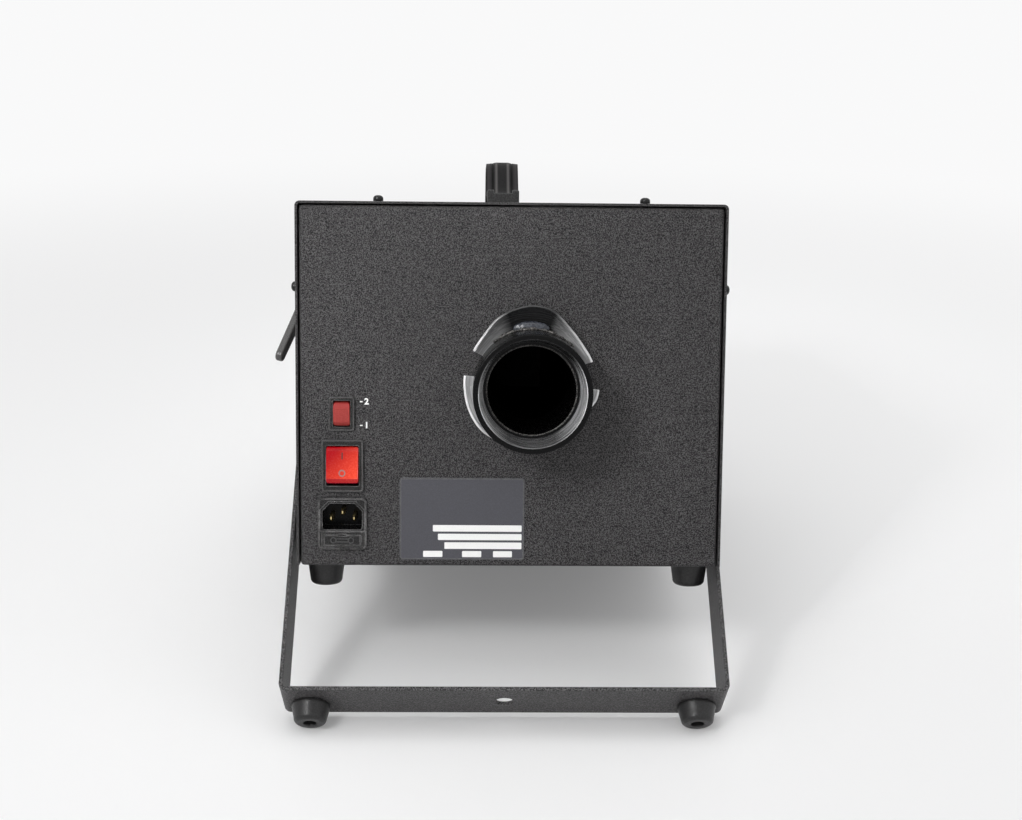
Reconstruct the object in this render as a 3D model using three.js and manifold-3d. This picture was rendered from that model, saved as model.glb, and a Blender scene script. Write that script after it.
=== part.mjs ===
// Confetti blower: a sheet-metal box with an outlet pipe, standing on a tilted yoke.
// Lengths are millimetres and angles are degrees. In the box's own frame x runs to the right,
// y runs backwards from the outer face of the front panel and z runs up from its underside.

import * as THREE from 'three';
import { mergeVertices } from 'three/addons/utils/BufferGeometryUtils.js';
import Module from 'manifold-3d';

const wasm = await Module();
wasm.setup();

// Clearances shared by every piece
const seatGap = 0.3;
const overrun = 2;

// Sheet-metal box
const box = {
  width: 260,
  height: 221.7,
  depth: 345,
  sheet: 1.5,
  coverGap: 0.9,
  chassisBend: 2.2,
  coverBend: 3,
  panelFlange: 26,
  floorFlange: 14,
};
const coverScrew = {
  headRadius: 3.1,
  headHeight: 3.6,
  crownRadius: 1.9,
  shankRadius: 1.7,
  shankLength: 9,
  topInset: 49,
  sideDrop: 51.7,
  edgeInset: 15,
};

// Rubber feet, tall ones on the box and lower ones on the yoke
const foot = {
  baseRadius: 11.85,
  tipRadius: 10,
  height: 16.75,
  baseBand: 2.5,
  tipRound: 3,
  recessRadius: 3.9,
  recessDepth: 8,
};
const yokeFoot = {
  baseRadius: 11.85,
  tipRadius: 10,
  height: 12,
  baseBand: 2.2,
  tipRound: 3,
  recessRadius: 3.9,
  recessDepth: 5,
};
const footScrew = { headRadius: 3.4, headHeight: 2.6, shankRadius: 1.9, gripLength: 8 };
const boxFootPlace = { sideInset: 15.5, frontInset: 27.5, rearInset: 27.5 };

// Strap handle
const handle = {
  sideOffset: -5.4,
  strapWidth: 21.5,
  tongueWidth: 16,
  tongueRise: 2.2,
  flangeThickness: 3,
  ribWidth: 13,
  ribRise: 1,
  taper: 1.2,
  rampLength: 41.5,
  bow: 22.4,
  endBlockWidth: 21.5,
  endBlockLength: 26,
  endBlockHeight: 8.6,
  endBlockRound: 0.9,
  endWall: 4,
  notchWidth: 11.8,
  notchDepth: 2.1,
  endInset: 64,
  postRadius: 4,
  postLength: 6,
};

// Outlet pipe with its flared collar
const outlet = {
  offset: 11.85,
  lift: 0.85,
  hubRadius: 34.75,
  hubReach: 49.4,
  hubBack: 9,
  hubChamfer: 1.2,
  socketMouth: 31.1,
  socketEnd: 28.75,
  socketDepth: 22.5,
  pipeRadius: 30.15,
  boreRadius: 26.25,
  tailLength: 42,
};
const collar = {
  wall: 1.8,
  backReach: 3.4,
  upperLip: 40.5,
  upperBulge: 9.2,
  upperReach: 9.5,
  upperFrom: 22.8,
  upperTo: 148,
  lowerLip: 38.2,
  lowerBulge: 3.6,
  lowerReach: 6.5,
  lowerFrom: 170.6,
  lowerTo: 358,
};
const locknut = { outerRadius: 39, thickness: 7, flats: 8 };
const coupling = { wall: 3.2, frontLength: 14, rearLength: 16 };
const hoseClamp = { wall: 1, width: 9, edgeInset: 2.5, lugWidth: 8, lugHeight: 5 };

// Blower: case with a tangential horn, its bracket, its motor and its rotor
const blower = {
  sideRoom: 28.1,
  headRoom: 9.2,
  caseHeight: 66,
  wall: 2.2,
  eyeInset: 42,
  hornGap: 2,
  hornLength: 108,
  shaftHole: 9,
};
const bracket = { thickness: 2.2, padMargin: 6, endInset: 8, footWidth: 14, eyeMargin: 4 };
const isolator = { radius: 8, height: 12, caseInset: 20 };
const motor = {
  caseInset: 22,
  wall: 19,
  capRadius: 22,
  capHeight: 6,
  floorThickness: 4,
  bearingRadius: 6.4,
};
const impeller = {
  tipGap: 5.8,
  plateThickness: 2,
  vaneHeight: 40,
  vaneThickness: 2,
  eyeLap: 2,
  hubRadius: 12,
  vanes: 8,
};
const rotor = { shaftRadius: 4, airGap: 3, armatureInset: 2, endReach: 4 };

// Rocker switches
const mainSwitch = {
  sideInset: 28.25,
  z: 62.2,
  bezelWidth: 25,
  bezelHeight: 31.6,
  bezelRise: 2,
  canMargin: 1.6,
  canDepth: 22,
  rockerWidth: 19.4,
  rockerRadius: 12.1,
  pivotDepth: 2.6,
  faceRise: 7,
  faceShare: 0.7,
  bezelCorner: 1.2,
  tilt: -8,
};
const speedSwitch = {
  sideInset: 27.8,
  z: 94,
  bezelWidth: 15.2,
  bezelHeight: 20.4,
  bezelRise: 1.8,
  canMargin: 1.2,
  canDepth: 18,
  rockerWidth: 10,
  rockerRadius: 7.7,
  pivotDepth: 1.8,
  faceRise: 4.8,
  faceShare: 0.55,
  bezelCorner: 0.8,
  tilt: 9,
};
const blade = { width: 4.8, thickness: 0.8, length: 8, pitch: 7 };
const rockerEdgeAngle = 24;
const rockerBackAngle = 10;

// Power inlet with its fuse drawer
const inlet = {
  sideInset: 28,
  z: 26.6,
  flangeWidth: 29.5,
  flangeHeight: 31.8,
  flangeRise: 2.2,
  flangeCorner: 3,
  canMargin: 1.3,
  canDepth: 26,
  socketWidth: 24.2,
  socketHeight: 16,
  socketDepth: 16,
  socketLift: 4.35,
  cornerCut: 4.6,
};
const pin = { width: 2, height: 4, spread: 7, lineDrop: 1.5, earthRise: 2.2, reach: 13, tail: 9 };
const fuseDrawer = { width: 24.5, height: 8.6, depth: 19, faceRise: 1, drop: 10.1, lip: 1.2 };
const fuse = { radius: 2.6, length: 20, depth: 11 };

// Rating plate and rear intake guard
const plate = { width: 76.2, height: 50.8, thickness: 0.5, sideInset: 62.9, bottom: 4.2, corner: 2 };
const guard = {
  lift: 1.15,
  holeRadius: 55,
  rimRadius: 60,
  rings: 3,
  ringWidth: 3,
  thickness: 2,
  spokeWidth: 4,
  pegRadius: 2,
  pegLength: 5,
};

// Yoke, its pivots and its clamping lever
const yoke = {
  leftGap: 5.2,
  thickness: 2.5,
  barWidth: 36,
  length: 304.5,
  pivotHeight: 156.5,
  lean: 39.26,
  bend: 4.5,
  clampHoleRadius: 5.5,
  footInset: 17.75,
  footSetback: 5,
};
const stud = { radius: 4, holeRadius: 4.4 };
const pivotNut = { flatRadius: 9, thickness: 9 };
const spacer = { radius: 17 };
const boltWasher = { radius: 11, thickness: 1.8 };
const boltHead = { radius: 7.5, height: 5.2 };
const lever = {
  hubRadius: 9,
  hubTopRadius: 7.4,
  hubLength: 10.5,
  hubSocket: 7,
  armOffset: 6.3,
  armLength: 59,
  armRootWidth: 12,
  armTipWidth: 8.5,
  armThickness: 5.4,
  armRound: 0.8,
  incline: 16,
  swing: 41,
};

// Faces per turn
const fineTurn = 32;
const middleTurn = 20;
const coarseTurn = 8;
const cornerSteps = 2;

// Colours, roughness and metalness
const finish = (color, roughness, metalness) =>
  new THREE.MeshStandardMaterial({ color, roughness, metalness });
const powderCoat = finish(0x232325, 0.75, 0.2);
const blackSteel = finish(0x151516, 0.4, 0.7);
const rubber = finish(0x1d1d1e, 0.85, 0);
const blackPlastic = finish(0x0c0c0d, 0.35, 0);
const mattePlastic = finish(0x18181a, 0.6, 0);
const zincSteel = finish(0xb4b6ba, 0.35, 0.9);
const brass = finish(0xc69a4a, 0.3, 0.9);
const greyMetal = finish(0x8b8d90, 0.45, 0.8);
const brightRed = finish(0xd8262a, 0.3, 0);
const brickRed = finish(0xa63a38, 0.45, 0);
const slate = finish(0x45494e, 0.5, 0.1);
const glass = finish(0xdfe3e2, 0.1, 0);

const radians = THREE.MathUtils.degToRad;
const chassisHalf = box.width / 2 - box.sheet - box.coverGap;
const chassisTop = box.height - box.sheet - box.coverGap;
const yokeInner = box.width + yoke.leftGap + seatGap;
const yokeOuter = yokeInner + 2 * yoke.thickness;
const yokeShift = box.width / 2 + seatGap - yokeInner / 2;
const yokeFootSpread = yokeOuter / 2 - yoke.footInset;
const pivotDepth = box.depth / 2;

// Places on the panels, from the box's left side, its middle height and its top
const fromLeft = (inset) => inset - box.width / 2;
const topScrewSpread = box.width / 2 - coverScrew.topInset;
const sideScrewHeight = box.height - coverScrew.sideDrop;
const outletHeight = box.height / 2 + outlet.lift;
const guardHeight = box.height / 2 + guard.lift;

// The blower's case takes the room between the outlet and the chassis
const caseRadius = (outlet.offset + outlet.pipeRadius + chassisHalf - box.sheet - blower.sideRoom) / 2;
const eyeRadius = caseRadius - blower.eyeInset;
const padRing = caseRadius - isolator.caseInset;
const impellerRadius = caseRadius - blower.wall - impeller.tipGap;
const motorRadius = caseRadius - motor.caseInset;
const motorBore = motorRadius - motor.wall;

// A solid from a geometry, with its shared corners merged
function solidOf(geometry) {
  const bare = geometry.clone();
  bare.deleteAttribute('normal');
  bare.deleteAttribute('uv');
  const merged = mergeVertices(bare);
  return new wasm.Manifold(
    new wasm.Mesh({
      numProp: 3,
      vertProperties: new Float32Array(merged.attributes.position.array),
      triVerts: new Uint32Array(merged.index.array),
    }),
  );
}

function geometryOf(solid) {
  const mesh = solid.getMesh();
  const geometry = new THREE.BufferGeometry();
  geometry.setAttribute('position', new THREE.BufferAttribute(mesh.vertProperties, mesh.numProp));
  geometry.setIndex(new THREE.BufferAttribute(mesh.triVerts, 1));
  geometry.computeVertexNormals();
  return geometry;
}

const join = (...solids) => solids.reduce((all, next) => all.add(next));
const cut = (body, ...tools) => tools.reduce((rest, tool) => rest.subtract(tool), body);
const moved = (solid, x, y, z) => solid.translate([x, y, z]);

// A straight-sided block between two corners
function block(from, to) {
  const size = to.map((value, axis) => value - from[axis]);
  const geometry = new THREE.BoxGeometry(...size);
  return moved(solidOf(geometry), ...from.map((value, axis) => value + size[axis] / 2));
}

// Quarter-turn rotations that lay a solid made along z along another axis
const turnZToX = new THREE.Matrix4().makeRotationY(Math.PI / 2);
const turnZToY = new THREE.Matrix4().makeRotationX(-Math.PI / 2);
const keepZ = new THREE.Matrix4();
const axisTurn = { x: turnZToX, y: turnZToY, z: keepZ };

// A turned solid: the profile's points are [radius, place along the axis]
function turned(profile, axis = 'z', faces = middleTurn) {
  const points = profile.map(([radius, along]) => new THREE.Vector2(radius, along));
  const geometry = new THREE.LatheGeometry(points, faces);
  geometry.rotateX(Math.PI / 2);
  geometry.applyMatrix4(axisTurn[axis]);
  const solid = solidOf(geometry);
  return solid.volume() < 0 ? solidOf(flipped(geometry)) : solid;
}

function flipped(geometry) {
  const copy = geometry.clone();
  const index = copy.index.array;
  for (let i = 0; i < index.length; i += 3) {
    [index[i], index[i + 1]] = [index[i + 1], index[i]];
  }
  return copy;
}

const rod = (radius, from, to, axis = 'z', faces = middleTurn) =>
  turned([[0, from], [radius, from], [radius, to], [0, to]], axis, faces);

// A closed ring profile ends where it starts
const ring = (inner, outer, from, to, axis = 'z', faces = middleTurn) =>
  turned([[inner, from], [outer, from], [outer, to], [inner, to], [inner, from]], axis, faces);

// Outline in x and y extruded upwards
function extruded(shape, height, faces = cornerSteps) {
  return solidOf(new THREE.ExtrudeGeometry(shape, {
    depth: height,
    bevelEnabled: false,
    curveSegments: faces,
  }));
}

function roundedRectangle(left, bottom, right, top, radius) {
  const shape = new THREE.Shape();
  shape.moveTo(left + radius, bottom);
  shape.lineTo(right - radius, bottom);
  shape.absarc(right - radius, bottom + radius, radius, -Math.PI / 2, 0);
  shape.lineTo(right, top - radius);
  shape.absarc(right - radius, top - radius, radius, 0, Math.PI / 2);
  shape.lineTo(left + radius, top);
  shape.absarc(left + radius, top - radius, radius, Math.PI / 2, Math.PI);
  shape.lineTo(left, bottom + radius);
  shape.absarc(left + radius, bottom + radius, radius, Math.PI, Math.PI * 1.5);
  return shape;
}

// An outline in x and z, extruded backwards from a given depth
function extrudedBack(shape, from, to, faces = cornerSteps) {
  const solid = extruded(shape, to - from, faces).rotate([90, 0, 0]);
  return moved(solid, 0, to, 0);
}

// An outline in y and z, extruded to the right from a given place
function extrudedRight(shape, from, to, faces = cornerSteps) {
  const solid = extruded(shape, to - from, faces).rotate([90, 0, 90]);
  return moved(solid, from, 0, 0);
}

// A block whose edges are rounded on all sides
function softBlock(from, to, radius) {
  const [x0, y0, z0] = from;
  const [x1, y1, z1] = to;
  const upright = moved(extruded(roundedRectangle(x0, y0, x1, y1, radius), z1 - z0), 0, 0, z0);
  const across = extrudedRight(roundedRectangle(y0, z0, y1, z1, radius), x0, x1);
  const back = extrudedBack(roundedRectangle(x0, z0, x1, z1, radius), y0, y1);
  return upright.intersect(across).intersect(back);
}

// A solid through rings that hold the same number of points each, with flat ends
function lofted(rings) {
  const count = rings[0].length;
  const positions = rings.flat().flatMap((point) => [point.x, point.y, point.z]);
  const index = [];
  for (let r = 0; r + 1 < rings.length; r += 1) {
    for (let i = 0; i < count; i += 1) {
      const next = (i + 1) % count;
      const here = r * count;
      const there = here + count;
      index.push(here + i, here + next, there + next, here + i, there + next, there + i);
    }
  }
  const outline = THREE.ShapeUtils.triangulateShape;
  for (const [r, flip] of [[0, true], [rings.length - 1, false]]) {
    for (const [a, b, c] of outline(flattened(rings[r]), [])) {
      const corners = [a, b, c].map((corner) => corner + r * count);
      index.push(...(flip ? corners.reverse() : corners));
    }
  }
  const geometry = new THREE.BufferGeometry();
  geometry.setAttribute('position', new THREE.Float32BufferAttribute(positions, 3));
  geometry.setIndex(index);
  const solid = solidOf(geometry);
  return solid.volume() < 0 ? solidOf(flipped(geometry)) : solid;
}

// The points of a flat ring, laid in the plane of its own first corner
function flattened(points) {
  const normal = new THREE.Vector3();
  points.forEach((point, i) => {
    normal.add(new THREE.Vector3().crossVectors(point, points[(i + 1) % points.length]));
  });
  normal.normalize();
  const across = points[1].clone().sub(points[0]).normalize();
  const up = new THREE.Vector3().crossVectors(normal, across);
  return points.map((point) => {
    const step = point.clone().sub(points[0]);
    return new THREE.Vector2(step.dot(across), step.dot(up));
  });
}

const machine = new THREE.Group();
const boxGroup = new THREE.Group();
const yokeGroup = new THREE.Group();
machine.add(boxGroup);
boxGroup.add(yokeGroup);

function add(group, name, solid, material) {
  const mesh = new THREE.Mesh(geometryOf(solid), material);
  mesh.name = name;
  group.add(mesh);
  return mesh;
}

// Places that repeat: the four cover corners, the four feet
const frontAndRear = [
  { y: coverScrew.edgeInset },
  { y: box.depth - coverScrew.edgeInset },
];
const sides = [-1, 1];

// Chassis: floor, front panel and rear panel with returned flanges
function chassis() {
  const inside = [box.sheet - chassisHalf, box.sheet, box.sheet];
  const insideEnd = [chassisHalf - box.sheet, box.depth - box.sheet, chassisTop - box.sheet];
  const shell = cut(
    softBlock([-chassisHalf, 0, 0], [chassisHalf, box.depth, chassisTop], box.chassisBend),
    block(inside, insideEnd),
    block(
      [-box.width, box.panelFlange, box.floorFlange],
      [box.width, box.depth - box.panelFlange, box.height],
    ),
  );
  const screwHole = coverScrew.shankRadius + seatGap;
  const holes = [];
  for (const { y } of frontAndRear) {
    for (const side of sides) {
      const topHole = rod(screwHole, chassisTop - box.panelFlange / 2, box.height, 'z', coarseTurn);
      holes.push(moved(topHole, side * topScrewSpread, y, 0));
      const reach = [chassisHalf - box.panelFlange / 2, box.width / 2];
      const sideHole = rod(screwHole, ...reach, 'x', coarseTurn);
      const placed = side > 0 ? sideHole : sideHole.mirror([1, 0, 0]);
      holes.push(moved(placed, 0, y, sideScrewHeight));
    }
  }
  for (const { x, y } of boxFeet()) {
    const hole = rod(footScrew.shankRadius + seatGap, -overrun, box.sheet + overrun, 'z', coarseTurn);
    holes.push(moved(hole, x, y, 0));
  }
  const through = [-overrun, box.sheet + overrun];
  const throat = outlet.pipeRadius + seatGap + collar.wall + seatGap;
  holes.push(moved(rod(throat, ...through, 'y', fineTurn), outlet.offset, 0, outletHeight));
  for (const part of [mainSwitch, speedSwitch]) {
    const middle = fromLeft(part.sideInset);
    holes.push(windowCut(middle, part.z, part.bezelWidth, part.bezelHeight, part.canMargin));
  }
  const inletCut = [inlet.flangeWidth, inlet.flangeHeight, inlet.canMargin];
  holes.push(windowCut(fromLeft(inlet.sideInset), inlet.z, ...inletCut));
  const rearThrough = [box.depth - box.sheet - overrun, box.depth + overrun];
  holes.push(moved(rod(guard.holeRadius, ...rearThrough, 'y', fineTurn), 0, 0, guardHeight));
  for (const [x, z] of guardPegs()) {
    const pegHole = rod(guard.pegRadius + seatGap, ...rearThrough, 'y', coarseTurn);
    holes.push(moved(pegHole, x, 0, z));
  }
  return cut(shell, ...holes);
}

// A panel window that the can of a switch or inlet goes through
function windowCut(x, z, width, height, margin) {
  const halfWidth = width / 2 - margin + seatGap;
  const halfHeight = height / 2 - margin + seatGap;
  return block(
    [x - halfWidth, -overrun, z - halfHeight],
    [x + halfWidth, box.sheet + overrun, z + halfHeight],
  );
}

function boxFeet() {
  const places = [];
  for (const y of [boxFootPlace.frontInset, box.depth - boxFootPlace.rearInset]) {
    for (const side of sides) {
      places.push({ x: side * (box.width / 2 - boxFootPlace.sideInset), y });
    }
  }
  return places;
}

const pegSpread = (guard.rimRadius + guard.holeRadius) / 2;

function guardPegs() {
  const places = [];
  for (let quarter = 0; quarter < 4; quarter += 1) {
    const angle = Math.PI / 4 + (quarter * Math.PI) / 2;
    places.push([pegSpread * Math.cos(angle), guardHeight + pegSpread * Math.sin(angle)]);
  }
  return places;
}

// Cover: one sheet folded over the top and down both sides
function cover() {
  const half = box.width / 2;
  const tall = roundedRectangle(-half, -box.height, half, box.height, box.coverBend);
  const innerBend = box.coverBend - box.sheet;
  const inner = roundedRectangle(
    box.sheet - half, -box.height - overrun, half - box.sheet, box.height - box.sheet, innerBend,
  );
  const shell = cut(
    extrudedBack(tall, 0, box.depth),
    extrudedBack(inner, -overrun, box.depth + overrun),
    block([-box.width, -overrun, -box.height - overrun], [box.width, box.depth + overrun, 0]),
  );
  const holes = [];
  const screwHole = coverScrew.shankRadius + seatGap;
  for (const { y } of frontAndRear) {
    for (const side of sides) {
      const topHole = rod(screwHole, box.height - overrun, box.height + overrun, 'z', coarseTurn);
      holes.push(moved(topHole, side * topScrewSpread, y, 0));
      const sideHole = rod(screwHole, -overrun, overrun, 'x', coarseTurn);
      holes.push(moved(sideHole, side * half, y, sideScrewHeight));
    }
  }
  for (const side of sides) {
    const pivotHole = rod(stud.holeRadius, -overrun, overrun, 'x');
    holes.push(moved(pivotHole, side * half, pivotDepth, yoke.pivotHeight));
  }
  for (const y of handlePosts()) {
    const postHole = rod(handle.postRadius + seatGap, -overrun, overrun);
    holes.push(moved(postHole, handle.sideOffset, y, box.height));
  }
  return cut(shell, ...holes);
}

// Cover screws, made head up with the seat at zero
function panScrew({ headRadius, headHeight, crownRadius, shankRadius, shankLength }) {
  return turned([
    [0, -shankLength],
    [shankRadius, -shankLength],
    [shankRadius, 0],
    [headRadius, 0],
    [headRadius, headHeight / 2],
    [crownRadius, headHeight],
    [0, headHeight],
  ], 'z', coarseTurn);
}

function addCoverScrews() {
  let number = 1;
  for (const { y } of frontAndRear) {
    for (const side of sides) {
      const top = add(boxGroup, `cover_screw_top_${number}`, panScrew(coverScrew), blackSteel);
      top.position.set(side * topScrewSpread, y, box.height + seatGap);
      const flank = add(boxGroup, `cover_screw_side_${number}`, panScrew(coverScrew), blackSteel);
      flank.position.set(side * (box.width / 2 + seatGap), y, sideScrewHeight);
      flank.rotation.y = side * Math.PI / 2;
      number += 1;
    }
  }
}

// A foot hangs below its seat at zero, with a rounded tip
const roundTurns = [90, 60, 30, 0];

function tipRing(size, turn) {
  const angle = radians(turn);
  return {
    radius: size.tipRadius - size.tipRound * (1 - Math.sin(angle)),
    reach: size.height - size.tipRound * (1 - Math.cos(angle)),
  };
}

function rubberFoot(size) {
  const bore = footScrew.shankRadius + seatGap;
  const recessTop = size.recessDepth - size.height;
  const tip = roundTurns.map((turn) => tipRing(size, turn));
  return turned([
    [bore, 0],
    [size.baseRadius, 0],
    [size.baseRadius, -size.baseBand],
    ...tip.map(({ radius, reach }) => [radius, -reach]),
    [size.recessRadius, -size.height],
    [size.recessRadius, recessTop],
    [bore, recessTop],
    [bore, 0],
  ]);
}

function screwOfFoot(size) {
  const seat = size.recessDepth - size.height - seatGap;
  return turned([
    [0, seat - footScrew.headHeight],
    [footScrew.headRadius, seat - footScrew.headHeight],
    [footScrew.headRadius, seat],
    [footScrew.shankRadius, seat],
    [footScrew.shankRadius, footScrew.gripLength],
    [0, footScrew.gripLength],
  ], 'z', coarseTurn);
}

function addFoot(group, name, size, x, y, z) {
  const rubberPart = add(group, name, rubberFoot(size), rubber);
  rubberPart.position.set(x, y, z - seatGap);
  const screwPart = add(group, `${name}_screw`, screwOfFoot(size), zincSteel);
  screwPart.position.set(x, y, z - seatGap);
}

// Strap handle: two end blocks, and a ribbed strap whose tongues sit in their pockets
const strapStart = handle.endInset + handle.endWall + seatGap;
const strapOut = handle.endInset + handle.endBlockLength + seatGap;
const strapFloor = box.height + seatGap + handle.tongueRise;

function handlePosts() {
  const reach = handle.endInset + handle.endBlockLength / 2;
  return [reach, box.depth - reach];
}

function endBlock() {
  const halfWidth = handle.endBlockWidth / 2;
  const halfLength = handle.endBlockLength / 2;
  const tongueHalf = handle.tongueWidth / 2 + seatGap;
  const ribHalf = handle.ribWidth / 2 + seatGap;
  const notchHalf = handle.notchWidth / 2;
  const pocketFloor = handle.tongueRise - seatGap;
  const pocketTop = handle.tongueRise + handle.flangeThickness + seatGap;
  const pocketStart = handle.endWall - halfLength;
  const above = handle.endBlockHeight + overrun;
  const body = softBlock(
    [-halfWidth, -halfLength, 0],
    [halfWidth, halfLength, handle.endBlockHeight],
    handle.endBlockRound,
  );
  const pocket = block(
    [-tongueHalf, pocketStart, pocketFloor],
    [tongueHalf, halfLength + overrun, pocketTop],
  );
  const channel = block(
    [-ribHalf, pocketStart, pocketFloor],
    [ribHalf, halfLength + overrun, above],
  );
  const notch = block(
    [-notchHalf, -halfLength - overrun, handle.endBlockHeight - handle.notchDepth],
    [notchHalf, 0, above],
  );
  const post = rod(handle.postRadius, -handle.postLength, pocketFloor / 2);
  return join(cut(body, pocket, channel, notch), post);
}

// Half of the rib's rounded crown: share of its half width, share of its rise
const crownShares = [[0.78, 0.7], [0.4, 1]];

function strapSection(half) {
  const rib = handle.ribWidth / 2;
  const flange = handle.flangeThickness;
  const right = [[half, 0], [half, flange], [rib, flange]];
  for (const [outShare, riseShare] of crownShares) {
    right.push([rib * outShare, flange + handle.ribRise * riseShare]);
  }
  const left = right.map(([x, z]) => [-x, z]).reverse();
  return [...right, ...left];
}

function strap() {
  const tongueHalf = handle.tongueWidth / 2;
  const half = handle.strapWidth / 2;
  const places = [[strapStart, 0, tongueHalf], [strapOut, 0, tongueHalf]];
  for (let step = 0; step <= rampSteps; step += 1) {
    const share = step / rampSteps;
    const lift = handle.bow * (1 - Math.cos(Math.PI * share)) / 2;
    places.push([strapOut + handle.taper + handle.rampLength * share, lift, half]);
  }
  const mirrored = places.map(([y, lift, reach]) => [box.depth - y, lift, reach]).reverse();
  const rings = [...places, ...mirrored].map(([y, lift, reach]) => (
    strapSection(reach).map(([x, z]) => new THREE.Vector3(x, y, strapFloor + lift + z))
  ));
  return moved(lofted(rings), handle.sideOffset, 0, 0);
}

const rampSteps = 8;

// Outlet pipe: a conical socket hub in front, a plain tail behind, one bore through both
function outletPipe() {
  const front = -outlet.hubReach;
  const back = -outlet.hubBack;
  const ledge = front + outlet.socketDepth;
  return moved(turned([
    [outlet.socketMouth, front],
    [outlet.hubRadius - outlet.hubChamfer, front],
    [outlet.hubRadius, front + outlet.hubChamfer],
    [outlet.hubRadius, back - outlet.hubChamfer],
    [outlet.hubRadius - outlet.hubChamfer, back],
    [outlet.pipeRadius, back],
    [outlet.pipeRadius, outlet.tailLength],
    [outlet.boreRadius, outlet.tailLength],
    [outlet.boreRadius, ledge],
    [outlet.socketEnd, ledge],
    [outlet.socketMouth, front],
  ], 'y', fineTurn), outlet.offset, 0, outletHeight);
}

// One flared leaf of the collar between two angles, with the outline of its lip
function collarLeaf(fromAngle, toAngle, lip, bulge, reach, outline) {
  const throat = outlet.pipeRadius + seatGap;
  const rings = [];
  for (const [turnShare, bulgeShare] of outline) {
    const angle = radians(fromAngle + (toAngle - fromAngle) * turnShare);
    const flare = lip + bulge * bulgeShare - throat - collar.wall;
    const inner = [];
    const outer = [];
    for (const [outShare, frontShare] of flareShares) {
      const y = -seatGap - reach * frontShare;
      inner.push([throat + flare * outShare, y - collar.wall * outShare]);
      outer.push([throat + collar.wall + flare * outShare, y]);
    }
    const profile = [[throat, collar.backReach], ...inner, ...outer.reverse()];
    profile.push([throat + collar.wall, collar.backReach]);
    rings.push(profile.map(([radius, y]) => new THREE.Vector3(
      outlet.offset + radius * Math.cos(angle), y, outletHeight + radius * Math.sin(angle),
    )));
  }
  return lofted(rings);
}

// Places on the flare: share of its spread, share of its reach
const flareShares = [[0, 0], [0.3, 0.14], [0.62, 0.42], [0.86, 0.73], [1, 1]];

// Outline of each leaf: share of its turn, share of its bulge
const upperOutline = [
  [0, 0], [0.113, 0], [0.185, 0.087], [0.249, 0.23], [0.305, 0.4], [0.373, 0.717],
  [0.425, 0.924], [0.473, 0.978], [0.529, 1], [0.577, 0.957], [0.633, 0.87], [0.68, 0.804],
  [0.76, 0.62], [0.81, 0.44], [0.864, 0.272], [0.92, 0.17], [1, 0.09],
];
const lowerOutline = [
  [0, 0.78], [0.044, 0.69], [0.088, 0.6], [0.14, 0.6], [0.195, 0.6], [0.248, 0.6], [0.301, 0.5],
  [0.36, 0.11], [0.41, 0.03], [0.46, 0], [0.51, 0], [0.56, 0], [0.61, 0], [0.66, 0], [0.71, 0],
  [0.76, 0], [0.81, 0], [0.865, 0], [0.91, 0.12], [0.941, 0.75], [0.97, 0.9], [1, 1],
];

const nutFront = collar.backReach + seatGap;
const nutBack = nutFront + locknut.thickness;

function outletLocknut() {
  const inner = outlet.pipeRadius + seatGap;
  const nut = cut(
    rod(locknut.outerRadius, nutFront, nutBack, 'y', locknut.flats),
    rod(inner, nutFront - overrun, nutBack + overrun, 'y', fineTurn),
  );
  return moved(nut, outlet.offset, 0, outletHeight);
}

// Blower case: a drum with a horn that leaves it along its side, towards the outlet
const hornFront = outlet.tailLength + blower.hornGap;
const drum = {
  x: outlet.offset - caseRadius + outlet.pipeRadius,
  y: hornFront + blower.hornLength,
  bottom: outletHeight - blower.caseHeight / 2,
  top: outletHeight + blower.caseHeight / 2,
};

function blowerCase() {
  const inside = caseRadius - blower.wall;
  const body = moved(rod(caseRadius, drum.bottom, drum.top, 'z', fineTurn), drum.x, drum.y, 0);
  const room = moved(
    rod(inside, drum.bottom + blower.wall, drum.top - blower.wall, 'z', fineTurn),
    drum.x, drum.y, 0,
  );
  const horn = rod(outlet.pipeRadius, hornFront, drum.y, 'y', fineTurn);
  const bore = rod(outlet.boreRadius, hornFront - overrun, drum.y, 'y', fineTurn);
  const eye = rod(eyeRadius, drum.bottom - overrun, drum.bottom + blower.wall + overrun);
  const shaftHole = rod(blower.shaftHole, drum.top - blower.wall - overrun, drum.top + overrun);
  return cut(
    join(body, moved(horn, outlet.offset, 0, outletHeight)),
    room,
    moved(bore, outlet.offset, 0, outletHeight),
    moved(eye, drum.x, drum.y, 0),
    moved(shaftHole, drum.x, drum.y, 0),
  );
}

// Rubber sleeve that joins the pipe's tail to the horn, and its two clamps
const couplingFront = outlet.tailLength - coupling.frontLength;
const couplingBack = hornFront + coupling.rearLength;
const couplingOuter = outlet.pipeRadius + seatGap + coupling.wall;

const airCoupling = () => moved(
  ring(outlet.pipeRadius + seatGap, couplingOuter, couplingFront, couplingBack, 'y', fineTurn),
  outlet.offset, 0, outletHeight,
);

function couplingClamp(from) {
  const inner = couplingOuter + seatGap;
  const outer = inner + hoseClamp.wall;
  const to = from + hoseClamp.width;
  const halfLug = hoseClamp.lugWidth / 2;
  const lug = block([-halfLug, from, inner], [halfLug, to, outer + hoseClamp.lugHeight]);
  const band = join(rod(outer, from, to, 'y', fineTurn), lug);
  const bore = rod(inner, from - overrun, to + overrun, 'y', fineTurn);
  return moved(cut(band, bore), outlet.offset, 0, outletHeight);
}

// Bracket: a hat section that stands on the floor and carries the case on three isolators
const bracketTop = drum.bottom - 2 * seatGap - isolator.height;
const bracketFloor = box.sheet + seatGap;

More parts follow.
